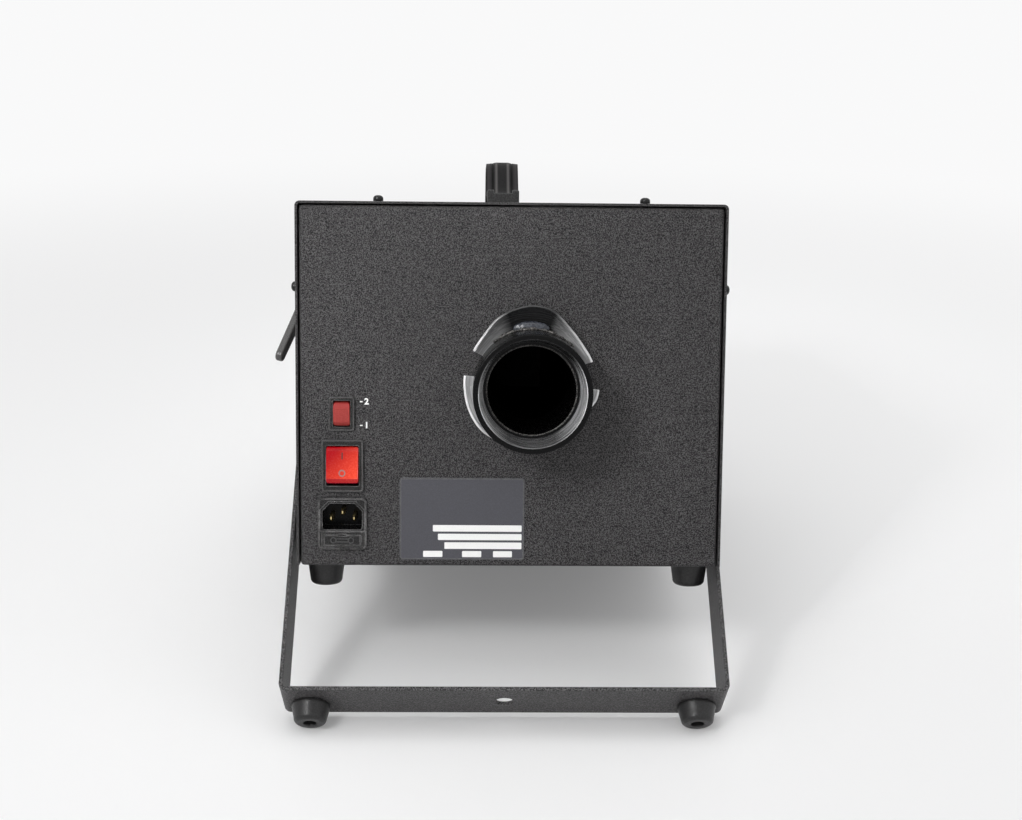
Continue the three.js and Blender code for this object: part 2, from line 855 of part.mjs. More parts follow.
function blowerBracket() {
  const half = padRing + isolator.radius + bracket.padMargin;
  const wall = bracket.thickness;
  const under = bracketTop - wall;
  const outerFoot = half + bracket.footWidth;
  const outline = new THREE.Shape([
    [-outerFoot, bracketFloor],
    [wall - half, bracketFloor],
    [wall - half, under],
    [half - wall, under],
    [half - wall, bracketFloor],
    [outerFoot, bracketFloor],
    [outerFoot, bracketFloor + wall],
    [half, bracketFloor + wall],
    [half, bracketTop],
    [-half, bracketTop],
    [-half, bracketFloor + wall],
    [-outerFoot, bracketFloor + wall],
  ].map(([x, z]) => new THREE.Vector2(x, z)));
  const reach = caseRadius - bracket.endInset;
  const hat = extrudedBack(outline, -reach, reach);
  const eye = rod(eyeRadius + bracket.eyeMargin, under - overrun, bracketTop + overrun);
  return moved(cut(hat, eye), drum.x, drum.y, 0);
}

function addIsolators() {
  for (let number = 1; number <= 3; number += 1) {
    const angle = Math.PI / 2 + (number * 2 * Math.PI) / 3;
    const pad = add(boxGroup, `isolator_${number}`, rod(isolator.radius, 0, isolator.height), rubber);
    pad.position.set(
      drum.x + padRing * Math.cos(angle),
      drum.y + padRing * Math.sin(angle),
      bracketTop + seatGap,
    );
  }
}

// Motor frame: an open-ended drum with a bearing seat in its cap
const motorBottom = drum.top + seatGap;
const motorTop = box.height - box.sheet - blower.headRoom - rotor.endReach - motor.capHeight;

const motorFrame = () => moved(turned([
  [motor.bearingRadius, motorBottom],
  [motorRadius, motorBottom],
  [motorRadius, motorTop],
  [motor.capRadius, motorTop],
  [motor.capRadius, motorTop + motor.capHeight],
  [motor.bearingRadius, motorTop + motor.capHeight],
  [motor.bearingRadius, motorTop - motor.floorThickness],
  [motorBore, motorTop - motor.floorThickness],
  [motorBore, motorBottom + motor.floorThickness],
  [motor.bearingRadius, motorBottom + motor.floorThickness],
  [motor.bearingRadius, motorBottom],
], 'z', middleTurn), drum.x, drum.y, 0);

// Rotor: shaft and armature in one piece, and the impeller on its lower end
const impellerTop = drum.top - 2 * blower.wall;
const impellerBottom = impellerTop - impeller.plateThickness - impeller.vaneHeight;

function rotorShaft() {
  const journal = motor.bearingRadius - seatGap;
  const armature = motorBore - rotor.airGap;
  const low = motorBottom + motor.floorThickness + rotor.armatureInset;
  const high = motorTop - motor.floorThickness - rotor.armatureInset;
  return moved(turned([
    [0, impellerBottom],
    [rotor.shaftRadius, impellerBottom],
    [rotor.shaftRadius, drum.top],
    [journal, drum.top],
    [journal, low],
    [armature, low],
    [armature, high],
    [journal, high],
    [journal, motorTop + motor.capHeight],
    [rotor.shaftRadius, motorTop + motor.capHeight],
    [rotor.shaftRadius, motorTop + motor.capHeight + rotor.endReach],
    [0, motorTop + motor.capHeight + rotor.endReach],
  ]), drum.x, drum.y, 0);
}

function impellerWheel() {
  const bore = rotor.shaftRadius + seatGap;
  const plateBottom = impellerTop - impeller.plateThickness;
  const wheel = [ring(bore, impellerRadius, plateBottom, impellerTop, 'z', fineTurn)];
  wheel.push(ring(bore, impeller.hubRadius, impellerBottom, impellerTop));
  const half = impeller.vaneThickness / 2;
  for (let number = 0; number < impeller.vanes; number += 1) {
    const vane = block(
      [eyeRadius + impeller.eyeLap - impellerRadius, -half, impellerBottom],
      [0, half, plateBottom + impeller.plateThickness / 2],
    );
    const swept = moved(vane, impellerRadius * vaneEndShare, 0, 0).rotate([0, 0, vaneSweep]);
    const placed = moved(swept, impellerRadius * vaneRootShare, 0, 0);
    wheel.push(placed.rotate([0, 0, (number * 360) / impeller.vanes]));
  }
  return moved(join(...wheel), drum.x, drum.y, 0);
}

const vaneSweep = 28;
const vaneEndShare = 0.5;
const vaneRootShare = 0.48;

// Switch body: bezel, can behind the panel, a pocket for the rocker and two terminal blades
function switchBody(part) {
  const halfWidth = part.bezelWidth / 2;
  const halfHeight = part.bezelHeight / 2;
  const front = -part.bezelRise - seatGap;
  const outline = roundedRectangle(
    -halfWidth, -halfHeight, halfWidth, halfHeight, part.bezelCorner,
  );
  const bezel = extrudedBack(outline, front, -seatGap);
  const can = block(
    [part.canMargin - halfWidth, -seatGap - part.bezelRise / 2, part.canMargin - halfHeight],
    [halfWidth - part.canMargin, part.canDepth, halfHeight - part.canMargin],
  );
  const pocketHalfWidth = part.rockerWidth / 2 + seatGap;
  const pocketHalfHeight = part.rockerRadius + seatGap;
  const pocket = block(
    [-pocketHalfWidth, front - overrun, -pocketHalfHeight],
    [pocketHalfWidth, part.pivotDepth + part.rockerRadius * pocketShare, pocketHalfHeight],
  );
  const blades = sides.map((side) => block(
    [-blade.width / 2, part.canDepth - overrun, (side * blade.pitch - blade.thickness) / 2],
    [blade.width / 2, part.canDepth + blade.length, (side * blade.pitch + blade.thickness) / 2],
  ));
  return moved(join(cut(join(bezel, can), pocket), ...blades), fromLeft(part.sideInset), 0, part.z);
}

const pocketShare = 0.5;

// Rocker: a flat face with a slanted end above and below, on a narrower back
function rocker(part) {
  const edge = radians(rockerEdgeAngle);
  const back = radians(rockerBackAngle);
  const radius = part.rockerRadius;
  const outline = new THREE.Shape([
    [radius * Math.sin(back), radius * Math.cos(back)],
    [-radius * Math.sin(edge), radius * Math.cos(edge)],
    [-part.faceRise, radius * part.faceShare],
    [-part.faceRise, -radius * part.faceShare],
    [-radius * Math.sin(edge), -radius * Math.cos(edge)],
    [radius * Math.sin(back), -radius * Math.cos(back)],
  ].map(([y, z]) => new THREE.Vector2(y, z)));
  return extrudedRight(outline, -part.rockerWidth / 2, part.rockerWidth / 2);
}

function addSwitch(name, part, rockerMaterial) {
  add(boxGroup, `${name}_switch_body`, switchBody(part), blackPlastic);
  const key = add(boxGroup, `${name}_switch_rocker`, rocker(part), rockerMaterial);
  key.position.set(fromLeft(part.sideInset), part.pivotDepth, part.z);
  key.rotation.x = radians(part.tilt);
}

// Power inlet: flange and can with the plug's socket above and the fuse drawer's bay below
const socketMiddle = inlet.socketLift;
const drawerMiddle = -fuseDrawer.drop;
const inletFront = -inlet.flangeRise - seatGap;
const socketFloor = inletFront + inlet.socketDepth;

function pinPlaces() {
  return [
    [-pin.spread, socketMiddle - pin.lineDrop],
    [0, socketMiddle + pin.earthRise],
    [pin.spread, socketMiddle - pin.lineDrop],
  ];
}

function socketOutline() {
  const half = inlet.socketWidth / 2;
  const top = socketMiddle + inlet.socketHeight / 2;
  const bottom = socketMiddle - inlet.socketHeight / 2;
  return new THREE.Shape([
    [-half, bottom],
    [half, bottom],
    [half, top - inlet.cornerCut],
    [half - inlet.cornerCut, top],
    [inlet.cornerCut - half, top],
    [-half, top - inlet.cornerCut],
  ].map(([x, z]) => new THREE.Vector2(x, z)));
}

function inletBody() {
  const halfWidth = inlet.flangeWidth / 2;
  const halfHeight = inlet.flangeHeight / 2;
  const outline = roundedRectangle(
    -halfWidth, -halfHeight, halfWidth, halfHeight, inlet.flangeCorner,
  );
  const flange = extrudedBack(outline, inletFront, -seatGap);
  const can = block(
    [inlet.canMargin - halfWidth, inletFront / 2, inlet.canMargin - halfHeight],
    [halfWidth - inlet.canMargin, inlet.canDepth, halfHeight - inlet.canMargin],
  );
  const socket = extrudedBack(socketOutline(), inletFront - overrun, socketFloor);
  const bayWidth = fuseDrawer.width / 2 + seatGap;
  const bayHeight = fuseDrawer.height / 2 + seatGap;
  const bay = block(
    [-bayWidth, inletFront - overrun, drawerMiddle - bayHeight],
    [bayWidth, inletFront + fuseDrawer.depth + seatGap, drawerMiddle + bayHeight],
  );
  const slots = pinPlaces().map(([x, z]) => block(
    [x - pin.width / 2 - seatGap, socketFloor - overrun, z - pin.height / 2 - seatGap],
    [x + pin.width / 2 + seatGap, inlet.canDepth + overrun, z + pin.height / 2 + seatGap],
  ));
  return moved(cut(join(flange, can), socket, bay, ...slots), fromLeft(inlet.sideInset), 0, inlet.z);
}

function addPins() {
  const names = ['inlet_pin_left', 'inlet_pin_earth', 'inlet_pin_right'];
  pinPlaces().forEach(([x, z], i) => {
    const body = softBlock(
      [-pin.width / 2, socketFloor - pin.reach, -pin.height / 2],
      [pin.width / 2, inlet.canDepth + pin.tail, pin.height / 2],
      pin.width / 4,
    );
    const contact = add(boxGroup, names[i], body, brass);
    contact.position.set(fromLeft(inlet.sideInset) + x, 0, inlet.z + z);
  });
}

// Fuse drawer: a tray with a finger lip, and the fuse lying across it
function fuseTray() {
  const halfWidth = fuseDrawer.width / 2;
  const halfHeight = fuseDrawer.height / 2;
  const front = inletFront - fuseDrawer.faceRise;
  const tray = block(
    [-halfWidth, front, drawerMiddle - halfHeight],
    [halfWidth, inletFront + fuseDrawer.depth, drawerMiddle + halfHeight],
  );
  const lip = block(
    [-fuseDrawer.height / 2, front - fuseDrawer.lip, drawerMiddle + halfHeight - fuseDrawer.lip],
    [fuseDrawer.height / 2, front + fuseDrawer.lip, drawerMiddle + halfHeight],
  );
  const room = fuse.radius + seatGap;
  const trough = block(
    [-fuse.length / 2 - seatGap, fuseMiddle - room, drawerMiddle - room],
    [fuse.length / 2 + seatGap, fuseMiddle + room, drawerMiddle + halfHeight + overrun],
  );
  return moved(cut(join(tray, lip), trough), fromLeft(inlet.sideInset), 0, inlet.z);
}

const fuseMiddle = inletFront + fuse.depth;

function fuseLink() {
  const body = rod(fuse.radius, -fuse.length / 2, fuse.length / 2, 'x', coarseTurn);
  return moved(body, fromLeft(inlet.sideInset), fuseMiddle, inlet.z + drawerMiddle);
}

function ratingPlate() {
  const left = fromLeft(plate.sideInset);
  const right = left + plate.width;
  const top = plate.bottom + plate.height;
  const outline = roundedRectangle(left, plate.bottom, right, top, plate.corner);
  return extrudedBack(outline, -seatGap - plate.thickness, -seatGap);
}

// Intake guard: flat rings on two crossing spokes, with four pegs into the rear panel
function intakeGuard() {
  const from = box.depth + seatGap;
  const to = from + guard.thickness;
  const pieces = [];
  for (let number = 0; number < guard.rings; number += 1) {
    const outer = guard.rimRadius * (1 - number / guard.rings);
    const width = number === 0 ? guard.rimRadius - guard.holeRadius + guard.ringWidth : guard.ringWidth;
    pieces.push(ring(outer - width, outer, from, to, 'y', fineTurn));
  }
  const half = guard.spokeWidth / 2;
  const reach = guard.rimRadius - guard.ringWidth;
  const spoke = block([-reach, from, -half], [reach, to, half]);
  pieces.push(spoke, spoke.rotate([0, 90, 0]));
  for (const [x, z] of guardPegs()) {
    const peg = rod(guard.pegRadius, box.depth - guard.pegLength, to, 'y', coarseTurn);
    pieces.push(moved(peg, x, 0, z - guardHeight));
  }
  return moved(join(...pieces), 0, 0, guardHeight);
}

// Yoke, in its own frame: the pivot line is x, the legs hang down
function yokeBar() {
  const half = yokeOuter / 2;
  const inner = half - yoke.thickness;
  const halfBar = yoke.barWidth / 2;
  const outerLine = roundedRectangle(-half, -yoke.length, half, yoke.length, yoke.bend);
  const innerLine = roundedRectangle(
    -inner, yoke.thickness - yoke.length, inner, yoke.length, yoke.bend - yoke.thickness,
  );
  const above = block(
    [-half - overrun, -halfBar - overrun, halfBar],
    [half + overrun, halfBar + overrun, yoke.length + overrun],
  );
  const band = cut(
    extrudedBack(outerLine, -halfBar, halfBar),
    extrudedBack(innerLine, -halfBar - overrun, halfBar + overrun),
    above,
  );
  const side = new THREE.Shape();
  side.moveTo(-halfBar, -yoke.length - overrun);
  side.lineTo(halfBar, -yoke.length - overrun);
  side.lineTo(halfBar, 0);
  side.absarc(0, 0, halfBar, 0, Math.PI);
  const rounded = band.intersect(extrudedRight(side, -half - overrun, half + overrun, coarseTurn));
  const holes = [rod(stud.holeRadius, -half - overrun, half + overrun, 'x')];
  const barHole = (radius) => rod(radius, -yoke.length - overrun, overrun - yoke.length + yoke.thickness);
  holes.push(barHole(yoke.clampHoleRadius));
  for (const end of sides) {
    const footHole = barHole(footScrew.shankRadius + seatGap);
    holes.push(moved(footHole, end * yokeFootSpread, yoke.footSetback, 0));
  }
  return moved(cut(rounded, ...holes), yokeShift, 0, 0);
}

// What is stacked on each pivot, from the box outwards
const leftLegInner = yokeShift - yokeInner / 2;
const leftLegOuter = leftLegInner - yoke.thickness;
const rightLegOuter = yokeShift + yokeInner / 2 + yoke.thickness;
const nutOutside = box.width / 2 - box.sheet - seatGap;
const nutInside = nutOutside - pivotNut.thickness;
const washerStart = rightLegOuter + seatGap;
const headStart = washerStart + boltWasher.thickness + seatGap;

const atPivot = (solid) => moved(solid, 0, pivotDepth, yoke.pivotHeight);

const hexFaces = 6;

function nutPlate(side) {
  const nut = cut(
    rod(pivotNut.flatRadius, nutInside, nutOutside, 'x', hexFaces),
    rod(stud.radius + seatGap, nutInside - overrun, nutOutside + overrun, 'x'),
  );
  return atPivot(side < 0 ? nut.mirror([1, 0, 0]) : nut);
}

const spacerRing = () => atPivot(
  ring(stud.radius + seatGap, spacer.radius, leftLegInner + seatGap, -box.width / 2 - seatGap, 'x'),
);

const pivotStud = () => atPivot(
  rod(stud.radius, leftLegOuter - lever.hubSocket, -nutInside, 'x'),
);

function pivotBolt() {
  const head = rod(boltHead.radius, headStart, headStart + boltHead.height, 'x', hexFaces);
  return atPivot(join(head, rod(stud.radius, nutInside, headStart + overrun, 'x')));
}

const boltRing = () => atPivot(
  ring(stud.radius + seatGap, boltWasher.radius, washerStart, washerStart + boltWasher.thickness, 'x'),
);

// Clamping lever, made about its hub: the hub runs outwards from the leg, the arm hangs down
function clampLever() {
  const hubEnd = -lever.hubLength;
  const hub = turned([
    [0, hubEnd],
    [lever.hubTopRadius, hubEnd],
    [lever.hubRadius, 0],
    [0, 0],
  ], 'x');
  const root = lever.armRootWidth / 2;
  const tip = lever.armTipWidth / 2;
  const straight = lever.armLength - tip;
  const outline = new THREE.Shape();
  outline.moveTo(root, 0);
  outline.absarc(0, 0, root, 0, Math.PI);
  outline.lineTo(-tip, -straight);
  outline.absarc(0, -straight, tip, Math.PI, 2 * Math.PI);
  const arm = solidOf(new THREE.ExtrudeGeometry(outline, {
    depth: lever.armThickness - 2 * lever.armRound,
    bevelThickness: lever.armRound,
    bevelSize: lever.armRound,
    bevelOffset: -lever.armRound,
    bevelSegments: 1,
    curveSegments: coarseTurn,
  })).rotate([90, 0, 90]);
  const outer = moved(arm, lever.armRound - lever.armOffset, 0, 0).rotate([0, lever.incline, 0]);
  const socket = rod(stud.radius + seatGap, -lever.hubSocket, overrun, 'x');
  const legSide = rod(lever.hubRadius + lever.armRootWidth, 0, lever.armRootWidth, 'x');
  return cut(join(hub, outer), socket, legSide);
}

// Assembly of the box
add(boxGroup, 'base_chassis', chassis(), powderCoat);
add(boxGroup, 'top_cover', cover(), powderCoat);
addCoverScrews();
boxFeet().forEach(({ x, y }, i) => addFoot(boxGroup, `box_foot_${i + 1}`, foot, x, y, 0));
add(boxGroup, 'handle_strap', strap(), rubber);
['handle_end_front', 'handle_end_rear'].forEach((name, i) => {
  const end = add(boxGroup, name, endBlock(), mattePlastic);
  end.position.set(handle.sideOffset, handlePosts()[i], box.height + seatGap);
  end.rotation.z = Math.PI * i;
});
add(boxGroup, 'outlet_pipe', outletPipe(), blackPlastic);
add(boxGroup, 'collar_upper', collarLeaf(
  collar.upperFrom, collar.upperTo, collar.upperLip, collar.upperBulge, collar.upperReach, upperOutline,
), mattePlastic);
add(boxGroup, 'collar_lower', collarLeaf(
  collar.lowerFrom, collar.lowerTo, collar.lowerLip, collar.lowerBulge, collar.lowerReach, lowerOutline,
), mattePlastic);
add(boxGroup, 'outlet_locknut', outletLocknut(), blackPlastic);
add(boxGroup, 'air_coupling', airCoupling(), rubber);
add(boxGroup, 'coupling_clamp_front', couplingClamp(couplingFront + hoseClamp.edgeInset), zincSteel);
add(
  boxGroup, 'coupling_clamp_rear',
  couplingClamp(couplingBack - hoseClamp.edgeInset - hoseClamp.width), zincSteel,
);
add(boxGroup, 'blower_case', blowerCase(), greyMetal);
add(boxGroup, 'blower_bracket', blowerBracket(), zincSteel);
addIsolators();
add(boxGroup, 'motor_frame', motorFrame(), greyMetal);
add(boxGroup, 'rotor_shaft', rotorShaft(), zincSteel);
add(boxGroup, 'impeller', impellerWheel(), greyMetal);
addSwitch('main', mainSwitch, brightRed);
addSwitch('speed', speedSwitch, brickRed);
add(boxGroup, 'inlet_body', inletBody(), blackPlastic);
addPins();
add(boxGroup, 'fuse_drawer', fuseTray(), blackPlastic);
add(boxGroup, 'fuse_link', fuseLink(), glass);
add(boxGroup, 'rating_plate', ratingPlate(), slate);
add(boxGroup, 'intake_guard', intakeGuard(), blackSteel);
add(boxGroup, 'pivot_nut_left', nutPlate(-1), zincSteel);
add(boxGroup, 'pivot_nut_right', nutPlate(1), zincSteel);
add(boxGroup, 'pivot_spacer_left', spacerRing(), mattePlastic);
add(boxGroup, 'pivot_stud_left', pivotStud(), zincSteel);
add(boxGroup, 'pivot_bolt_right', pivotBolt(), blackSteel);
add(boxGroup, 'pivot_washer_right', boltRing(), blackSteel);
const clamp = add(boxGroup, 'clamp_lever', clampLever(), mattePlastic);
clamp.position.set(leftLegOuter - seatGap, pivotDepth, yoke.pivotHeight);
clamp.rotation.x = -radians(lever.swing);

// The yoke leans forwards about its pivots
add(yokeGroup, 'yoke_bar', yokeBar(), powderCoat);
sides.forEach((side, i) => {
  const x = yokeShift + side * yokeFootSpread;
  addFoot(yokeGroup, `yoke_foot_${i + 1}`, yokeFoot, x, yoke.footSetback, -yoke.length);
});
yokeGroup.position.set(0, pivotDepth, yoke.pivotHeight);
yokeGroup.rotation.x = -radians(yoke.lean);

// The machine stands nose up: on a ring of the yoke feet's round and on the rear feet's flat tips
const lean = radians(yoke.lean);
const yokeTip = tipRing(yokeFoot, roundTurns[1]);
const rearTip = tipRing(foot, 0);
const tipReach = yoke.length + seatGap + yokeTip.reach;
const tipSetback = yoke.footSetback + yokeTip.radius;
const yokeRim = {
  y: pivotDepth - tipReach * Math.sin(lean) + tipSetback * Math.cos(lean),
  z: yoke.pivotHeight - tipReach * Math.cos(lean) - tipSetback * Math.sin(lean),
};
const rearRim = {
  y: box.depth - boxFootPlace.rearInset + rearTip.radius,
  z: -seatGap - rearTip.reach,
};
boxGroup.rotation.x = -Math.atan2(rearRim.z - yokeRim.z, rearRim.y - yokeRim.y);

// The origin lies under the middle of the standing machine, on the floor
machine.updateMatrixWorld(true);
const extent = new THREE.Box3().setFromObject(machine, true);
const middle = extent.getCenter(new THREE.Vector3());
boxGroup.position.set(-middle.x, -middle.y, -extent.min.z);

export default machine;
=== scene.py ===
# Confetti blower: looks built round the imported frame. Modelled in millimetres, set down in metres.
import math
import bpy
import bmesh
from mathutils import Matrix, Vector


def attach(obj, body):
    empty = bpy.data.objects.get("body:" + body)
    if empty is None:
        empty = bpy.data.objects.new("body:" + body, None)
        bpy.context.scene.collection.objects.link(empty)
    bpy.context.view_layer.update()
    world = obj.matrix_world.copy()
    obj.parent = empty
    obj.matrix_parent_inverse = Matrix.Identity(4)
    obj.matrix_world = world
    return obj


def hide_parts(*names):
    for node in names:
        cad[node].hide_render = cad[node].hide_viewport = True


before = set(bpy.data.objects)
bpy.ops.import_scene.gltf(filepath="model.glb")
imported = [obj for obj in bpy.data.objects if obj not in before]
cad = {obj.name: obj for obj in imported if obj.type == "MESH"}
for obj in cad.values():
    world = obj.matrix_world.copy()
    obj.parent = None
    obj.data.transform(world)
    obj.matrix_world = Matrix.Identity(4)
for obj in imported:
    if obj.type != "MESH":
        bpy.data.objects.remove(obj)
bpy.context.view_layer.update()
scene = bpy.context.scene
mm = 0.001
print("frame loaded:", len(cad), "nodes")


def turnedBy(axis, degrees):
    return Matrix.Rotation(math.radians(degrees), 4, axis)


def shifted(x=0, y=0, z=0):
    return Matrix.Translation((x, y, z))


# where the box and the yoke stand, in millimetres and degrees
boxStand = {"tilt": 13.203007, "corner": (9.848491, -168.589493, 90.715753)}
yokeStand = {"pivot": (0, 172.5, 156.5), "lean": 39.26, "shift": -2.45}
boxPlace = shifted(*boxStand["corner"]) @ turnedBy("X", -boxStand["tilt"])
yokePlace = boxPlace @ shifted(*yokeStand["pivot"]) @ turnedBy("X", -yokeStand["lean"])
toMetres = Matrix.Scale(mm, 4)

# camera at the photograph's angle, its place measured in the box's own frame
cameraValues = {"image": (1022, 820), "focalPixels": 1534.85, "film": 36, "place": (-20.67, -924.76, 207.8),
                "pitch": 6.84, "yaw": 1.30, "roll": 0.55}


def setCamera(values):
    pitch, yaw, roll = (math.radians(values[k]) for k in ("pitch", "yaw", "roll"))
    forward = Vector((math.sin(yaw) * math.cos(pitch), math.cos(yaw) * math.cos(pitch), -math.sin(pitch)))
    right = Vector((math.cos(yaw), -math.sin(yaw), 0))
    up = right.cross(forward)
    side = math.cos(roll) * right + math.sin(roll) * up
    top = -math.sin(roll) * right + math.cos(roll) * up
    turn = Matrix((side, top, -forward)).transposed().to_4x4()
    bpy.ops.object.camera_add()
    camera = bpy.context.object
    camera.name = "photoCamera"
    stand = boxPlace @ shifted(*values["place"]) @ turn
    camera.matrix_world = Matrix.Translation(stand.translation * mm) @ stand.to_3x3().normalized().to_4x4()
    camera.data.sensor_width = values["film"]
    camera.data.lens = values["focalPixels"] * values["film"] / values["image"][0]
    camera.data.clip_start = 0.01
    scene.camera = camera


setCamera(cameraValues)
print("camera set")


def addNode(tree, kind, at, feeds=None, **values):
    # a node with its settings, and a link or a fixed value for each socket it is fed
    node = tree.nodes.new(kind)
    node.location = at
    for name, value in values.items():
        setattr(node, name, value)
    for key, value in (feeds or {}).items():
        socket = node.inputs[key]
        if isinstance(value, bpy.types.NodeSocket):
            tree.links.new(value, socket)
        elif socket.type == "RGBA":
            socket.default_value = (*value, 1) if isinstance(value, tuple) else (value, value, value, 1)
        else:
            socket.default_value = value
    return node


def emptyTree(owner):
    owner.use_nodes = True
    owner.node_tree.nodes.clear()
    return owner.node_tree


def maths(tree, operation, first, second, at):
    return addNode(tree, "ShaderNodeMath", at, {0: first, 1: second}, operation=operation).outputs[0]


def vectorMaths(tree, operation, first, second, at):
    return addNode(tree, "ShaderNodeVectorMath", at, {0: first, 1: second}, operation=operation).outputs


def ranged(tree, value, low, high, toLow=0.0, toHigh=1.0, at=(0, 0)):
    feeds = {"Value": value, "From Min": low, "From Max": high, "To Min": toLow, "To Max": toHigh}
    return addNode(tree, "ShaderNodeMapRange", at, feeds, clamp=True).outputs["Result"]


def mixed(tree, share, first, second, at):
    return addNode(tree, "ShaderNodeMix", at, {"Factor": share, 6: first, 7: second}, data_type="RGBA").outputs[2]


def mixedShader(tree, share, first, second, at):
    return addNode(tree, "ShaderNodeMixShader", at, {0: share, 1: first.outputs[0], 2: second.outputs[0]}).outputs[0]


def noise(tree, scale, detail, vector, at):
    feeds = {"Scale": scale, "Detail": detail, "Roughness": 0.55, "Vector": vector}
    return addNode(tree, "ShaderNodeTexNoise", at, feeds).outputs["Fac"]


def objectPlace(tree):
    return addNode(tree, "ShaderNodeTexCoord", (-900, 250)).outputs["Object"]


def parted(tree, vector, at):
    return addNode(tree, "ShaderNodeSeparateXYZ", at, {0: vector}).outputs


# studio: the world, the lamps and the paper floor
studio = {"zenith": 0.78, "horizon": 0.39, "backdrop": (0.92, 0.92, 0.922), "farPaper": (0.948, 0.948, 0.951),
          "floorColour": (0.94, 0.94, 0.943), "floorLift": 0.16, "floorRadius": 9.0, "fadeFrom": 0.7, "fadeTo": 1.7}
lamps = {
    "frontBank": {"place": (-0.75, -1.1, 1.15), "aim": (-0.05, 0, 0.2), "size": (0.9, 0.7), "watts": 5},
    "gridBox": {"place": (-0.62, -1.0, 0.95), "aim": (-0.13, -0.17, 0.34), "size": (0.25, 0.25), "watts": 0.34,
                "spread": 34},
    "overhead": {"place": (0.1, -0.1, 2.2), "aim": (0, 0, 0.1), "size": (2.0, 1.6), "watts": 11},
    "rightBank": {"place": (2.0, -1.3, 1.2), "aim": (0, 0, 0.15), "size": (1.3, 1.6), "watts": 1.2},
    "rearFill": {"place": (0.3, 2.2, 1.6), "aim": (0, 0, 0.15), "size": (2.0, 1.2), "watts": 3},
}


def seenDirectly(tree, x, y):
    # 1 for what the camera, a reflection or glass shows, 0 for what lights the machine
    path = addNode(tree, "ShaderNodeLightPath", (x, y)).outputs
    first = maths(tree, "MAXIMUM", path["Is Camera Ray"], path["Is Transmission Ray"], (x + 200, y))
    return maths(tree, "MAXIMUM", first, path["Is Glossy Ray"], (x + 400, y))


def setWorld(values):
    # a soft room: bright overhead, dim at the height of the machine
    scene.world = bpy.data.worlds.new("softRoom")
    tree = emptyTree(scene.world)
    place = addNode(tree, "ShaderNodeTexCoord", (-900, 60)).outputs["Generated"]
    rise = addNode(tree, "ShaderNodeMapRange", (-450, 60), {
        "Value": parted(tree, place, (-700, 60))["Z"], "To Min": values["horizon"], "To Max": values["zenith"]})
    light = addNode(tree, "ShaderNodeBackground", (150, 80), {"Color": 1, "Strength": rise.outputs["Result"]})
    seen = addNode(tree, "ShaderNodeBackground", (150, -80), {"Color": values["backdrop"], "Strength": 1})
    room = mixedShader(tree, seenDirectly(tree, -400, 300), light, seen, (400, 0))
    addNode(tree, "ShaderNodeOutputWorld", (600, 0), {"Surface": room})


def setLamps(table):
    for name, values in table.items():
        bpy.ops.object.light_add(type="AREA", location=values["place"])
        lamp = bpy.context.object
        lamp.name = name
        lamp.data.shape = "RECTANGLE"
        lamp.data.size, lamp.data.size_y = values["size"]
        lamp.data.energy = values["watts"]
        lamp.data.spread = math.radians(values.get("spread", 180))
        aim = Vector(values["aim"]) - Vector(values["place"])
        lamp.rotation_euler = aim.to_track_quat("-Z", "Y").to_euler()


def setFloor(values):
    bpy.ops.object.select_all(action="DESELECT")
    bpy.ops.mesh.primitive_circle_add(vertices=96, radius=values["floorRadius"], fill_type="NGON")
    floor = bpy.context.object
    floor.name = "studioFloor"
    paper = bpy.data.materials.new("studioPaper")
    tree = emptyTree(paper)
    matte = addNode(tree, "ShaderNodeBsdfPrincipled", (250, 100), {
        "Base Color": values["floorColour"], "Roughness": 0.9, "Specular IOR Level": 0})
    glow = addNode(tree, "ShaderNodeEmission", (250, -250), {"Color": values["farPaper"]})
    place = addNode(tree, "ShaderNodeTexCoord", (-600, 0)).outputs["Object"]
    far = addNode(tree, "ShaderNodeVectorMath", (-400, 0), {0: place}, operation="LENGTH").outputs["Value"]
    fade = addNode(tree, "ShaderNodeMapRange", (-200, 0), {
        "Value": far, "From Min": values["fadeFrom"], "From Max": values["fadeTo"], "To Min": values["floorLift"]},
        interpolation_type="SMOOTHSTEP")
    sheet = mixedShader(tree, fade.outputs["Result"], matte, glow, (550, 0))
    addNode(tree, "ShaderNodeOutputMaterial", (800, 0), {"Surface": sheet})
    floor.data.materials.append(paper)


scene.view_settings.view_transform = "Standard"
setWorld(studio)
setLamps(lamps)
setFloor(studio)
print("studio set")


# shader groups that several finishes share
def newGroup(name, inputs, outputs):
    tree = bpy.data.node_groups.new(name, "ShaderNodeTree")
    for label, value in inputs.items():
        kind = "Float" if isinstance(value, float) else {3: "Vector", 4: "Color"}[len(value)]
        tree.interface.new_socket(label, in_out="INPUT", socket_type="NodeSocket" + kind).default_value = value
    for label in outputs:
        kind = "Color" if label == "Colour" else "Float"
        tree.interface.new_socket(label, in_out="OUTPUT", socket_type="NodeSocket" + kind)
    return tree, addNode(tree, "NodeGroupInput", (-900, 0)).outputs


def closeGroup(tree, **feeds):
    addNode(tree, "NodeGroupOutput", (900, 0), feeds)
    return tree


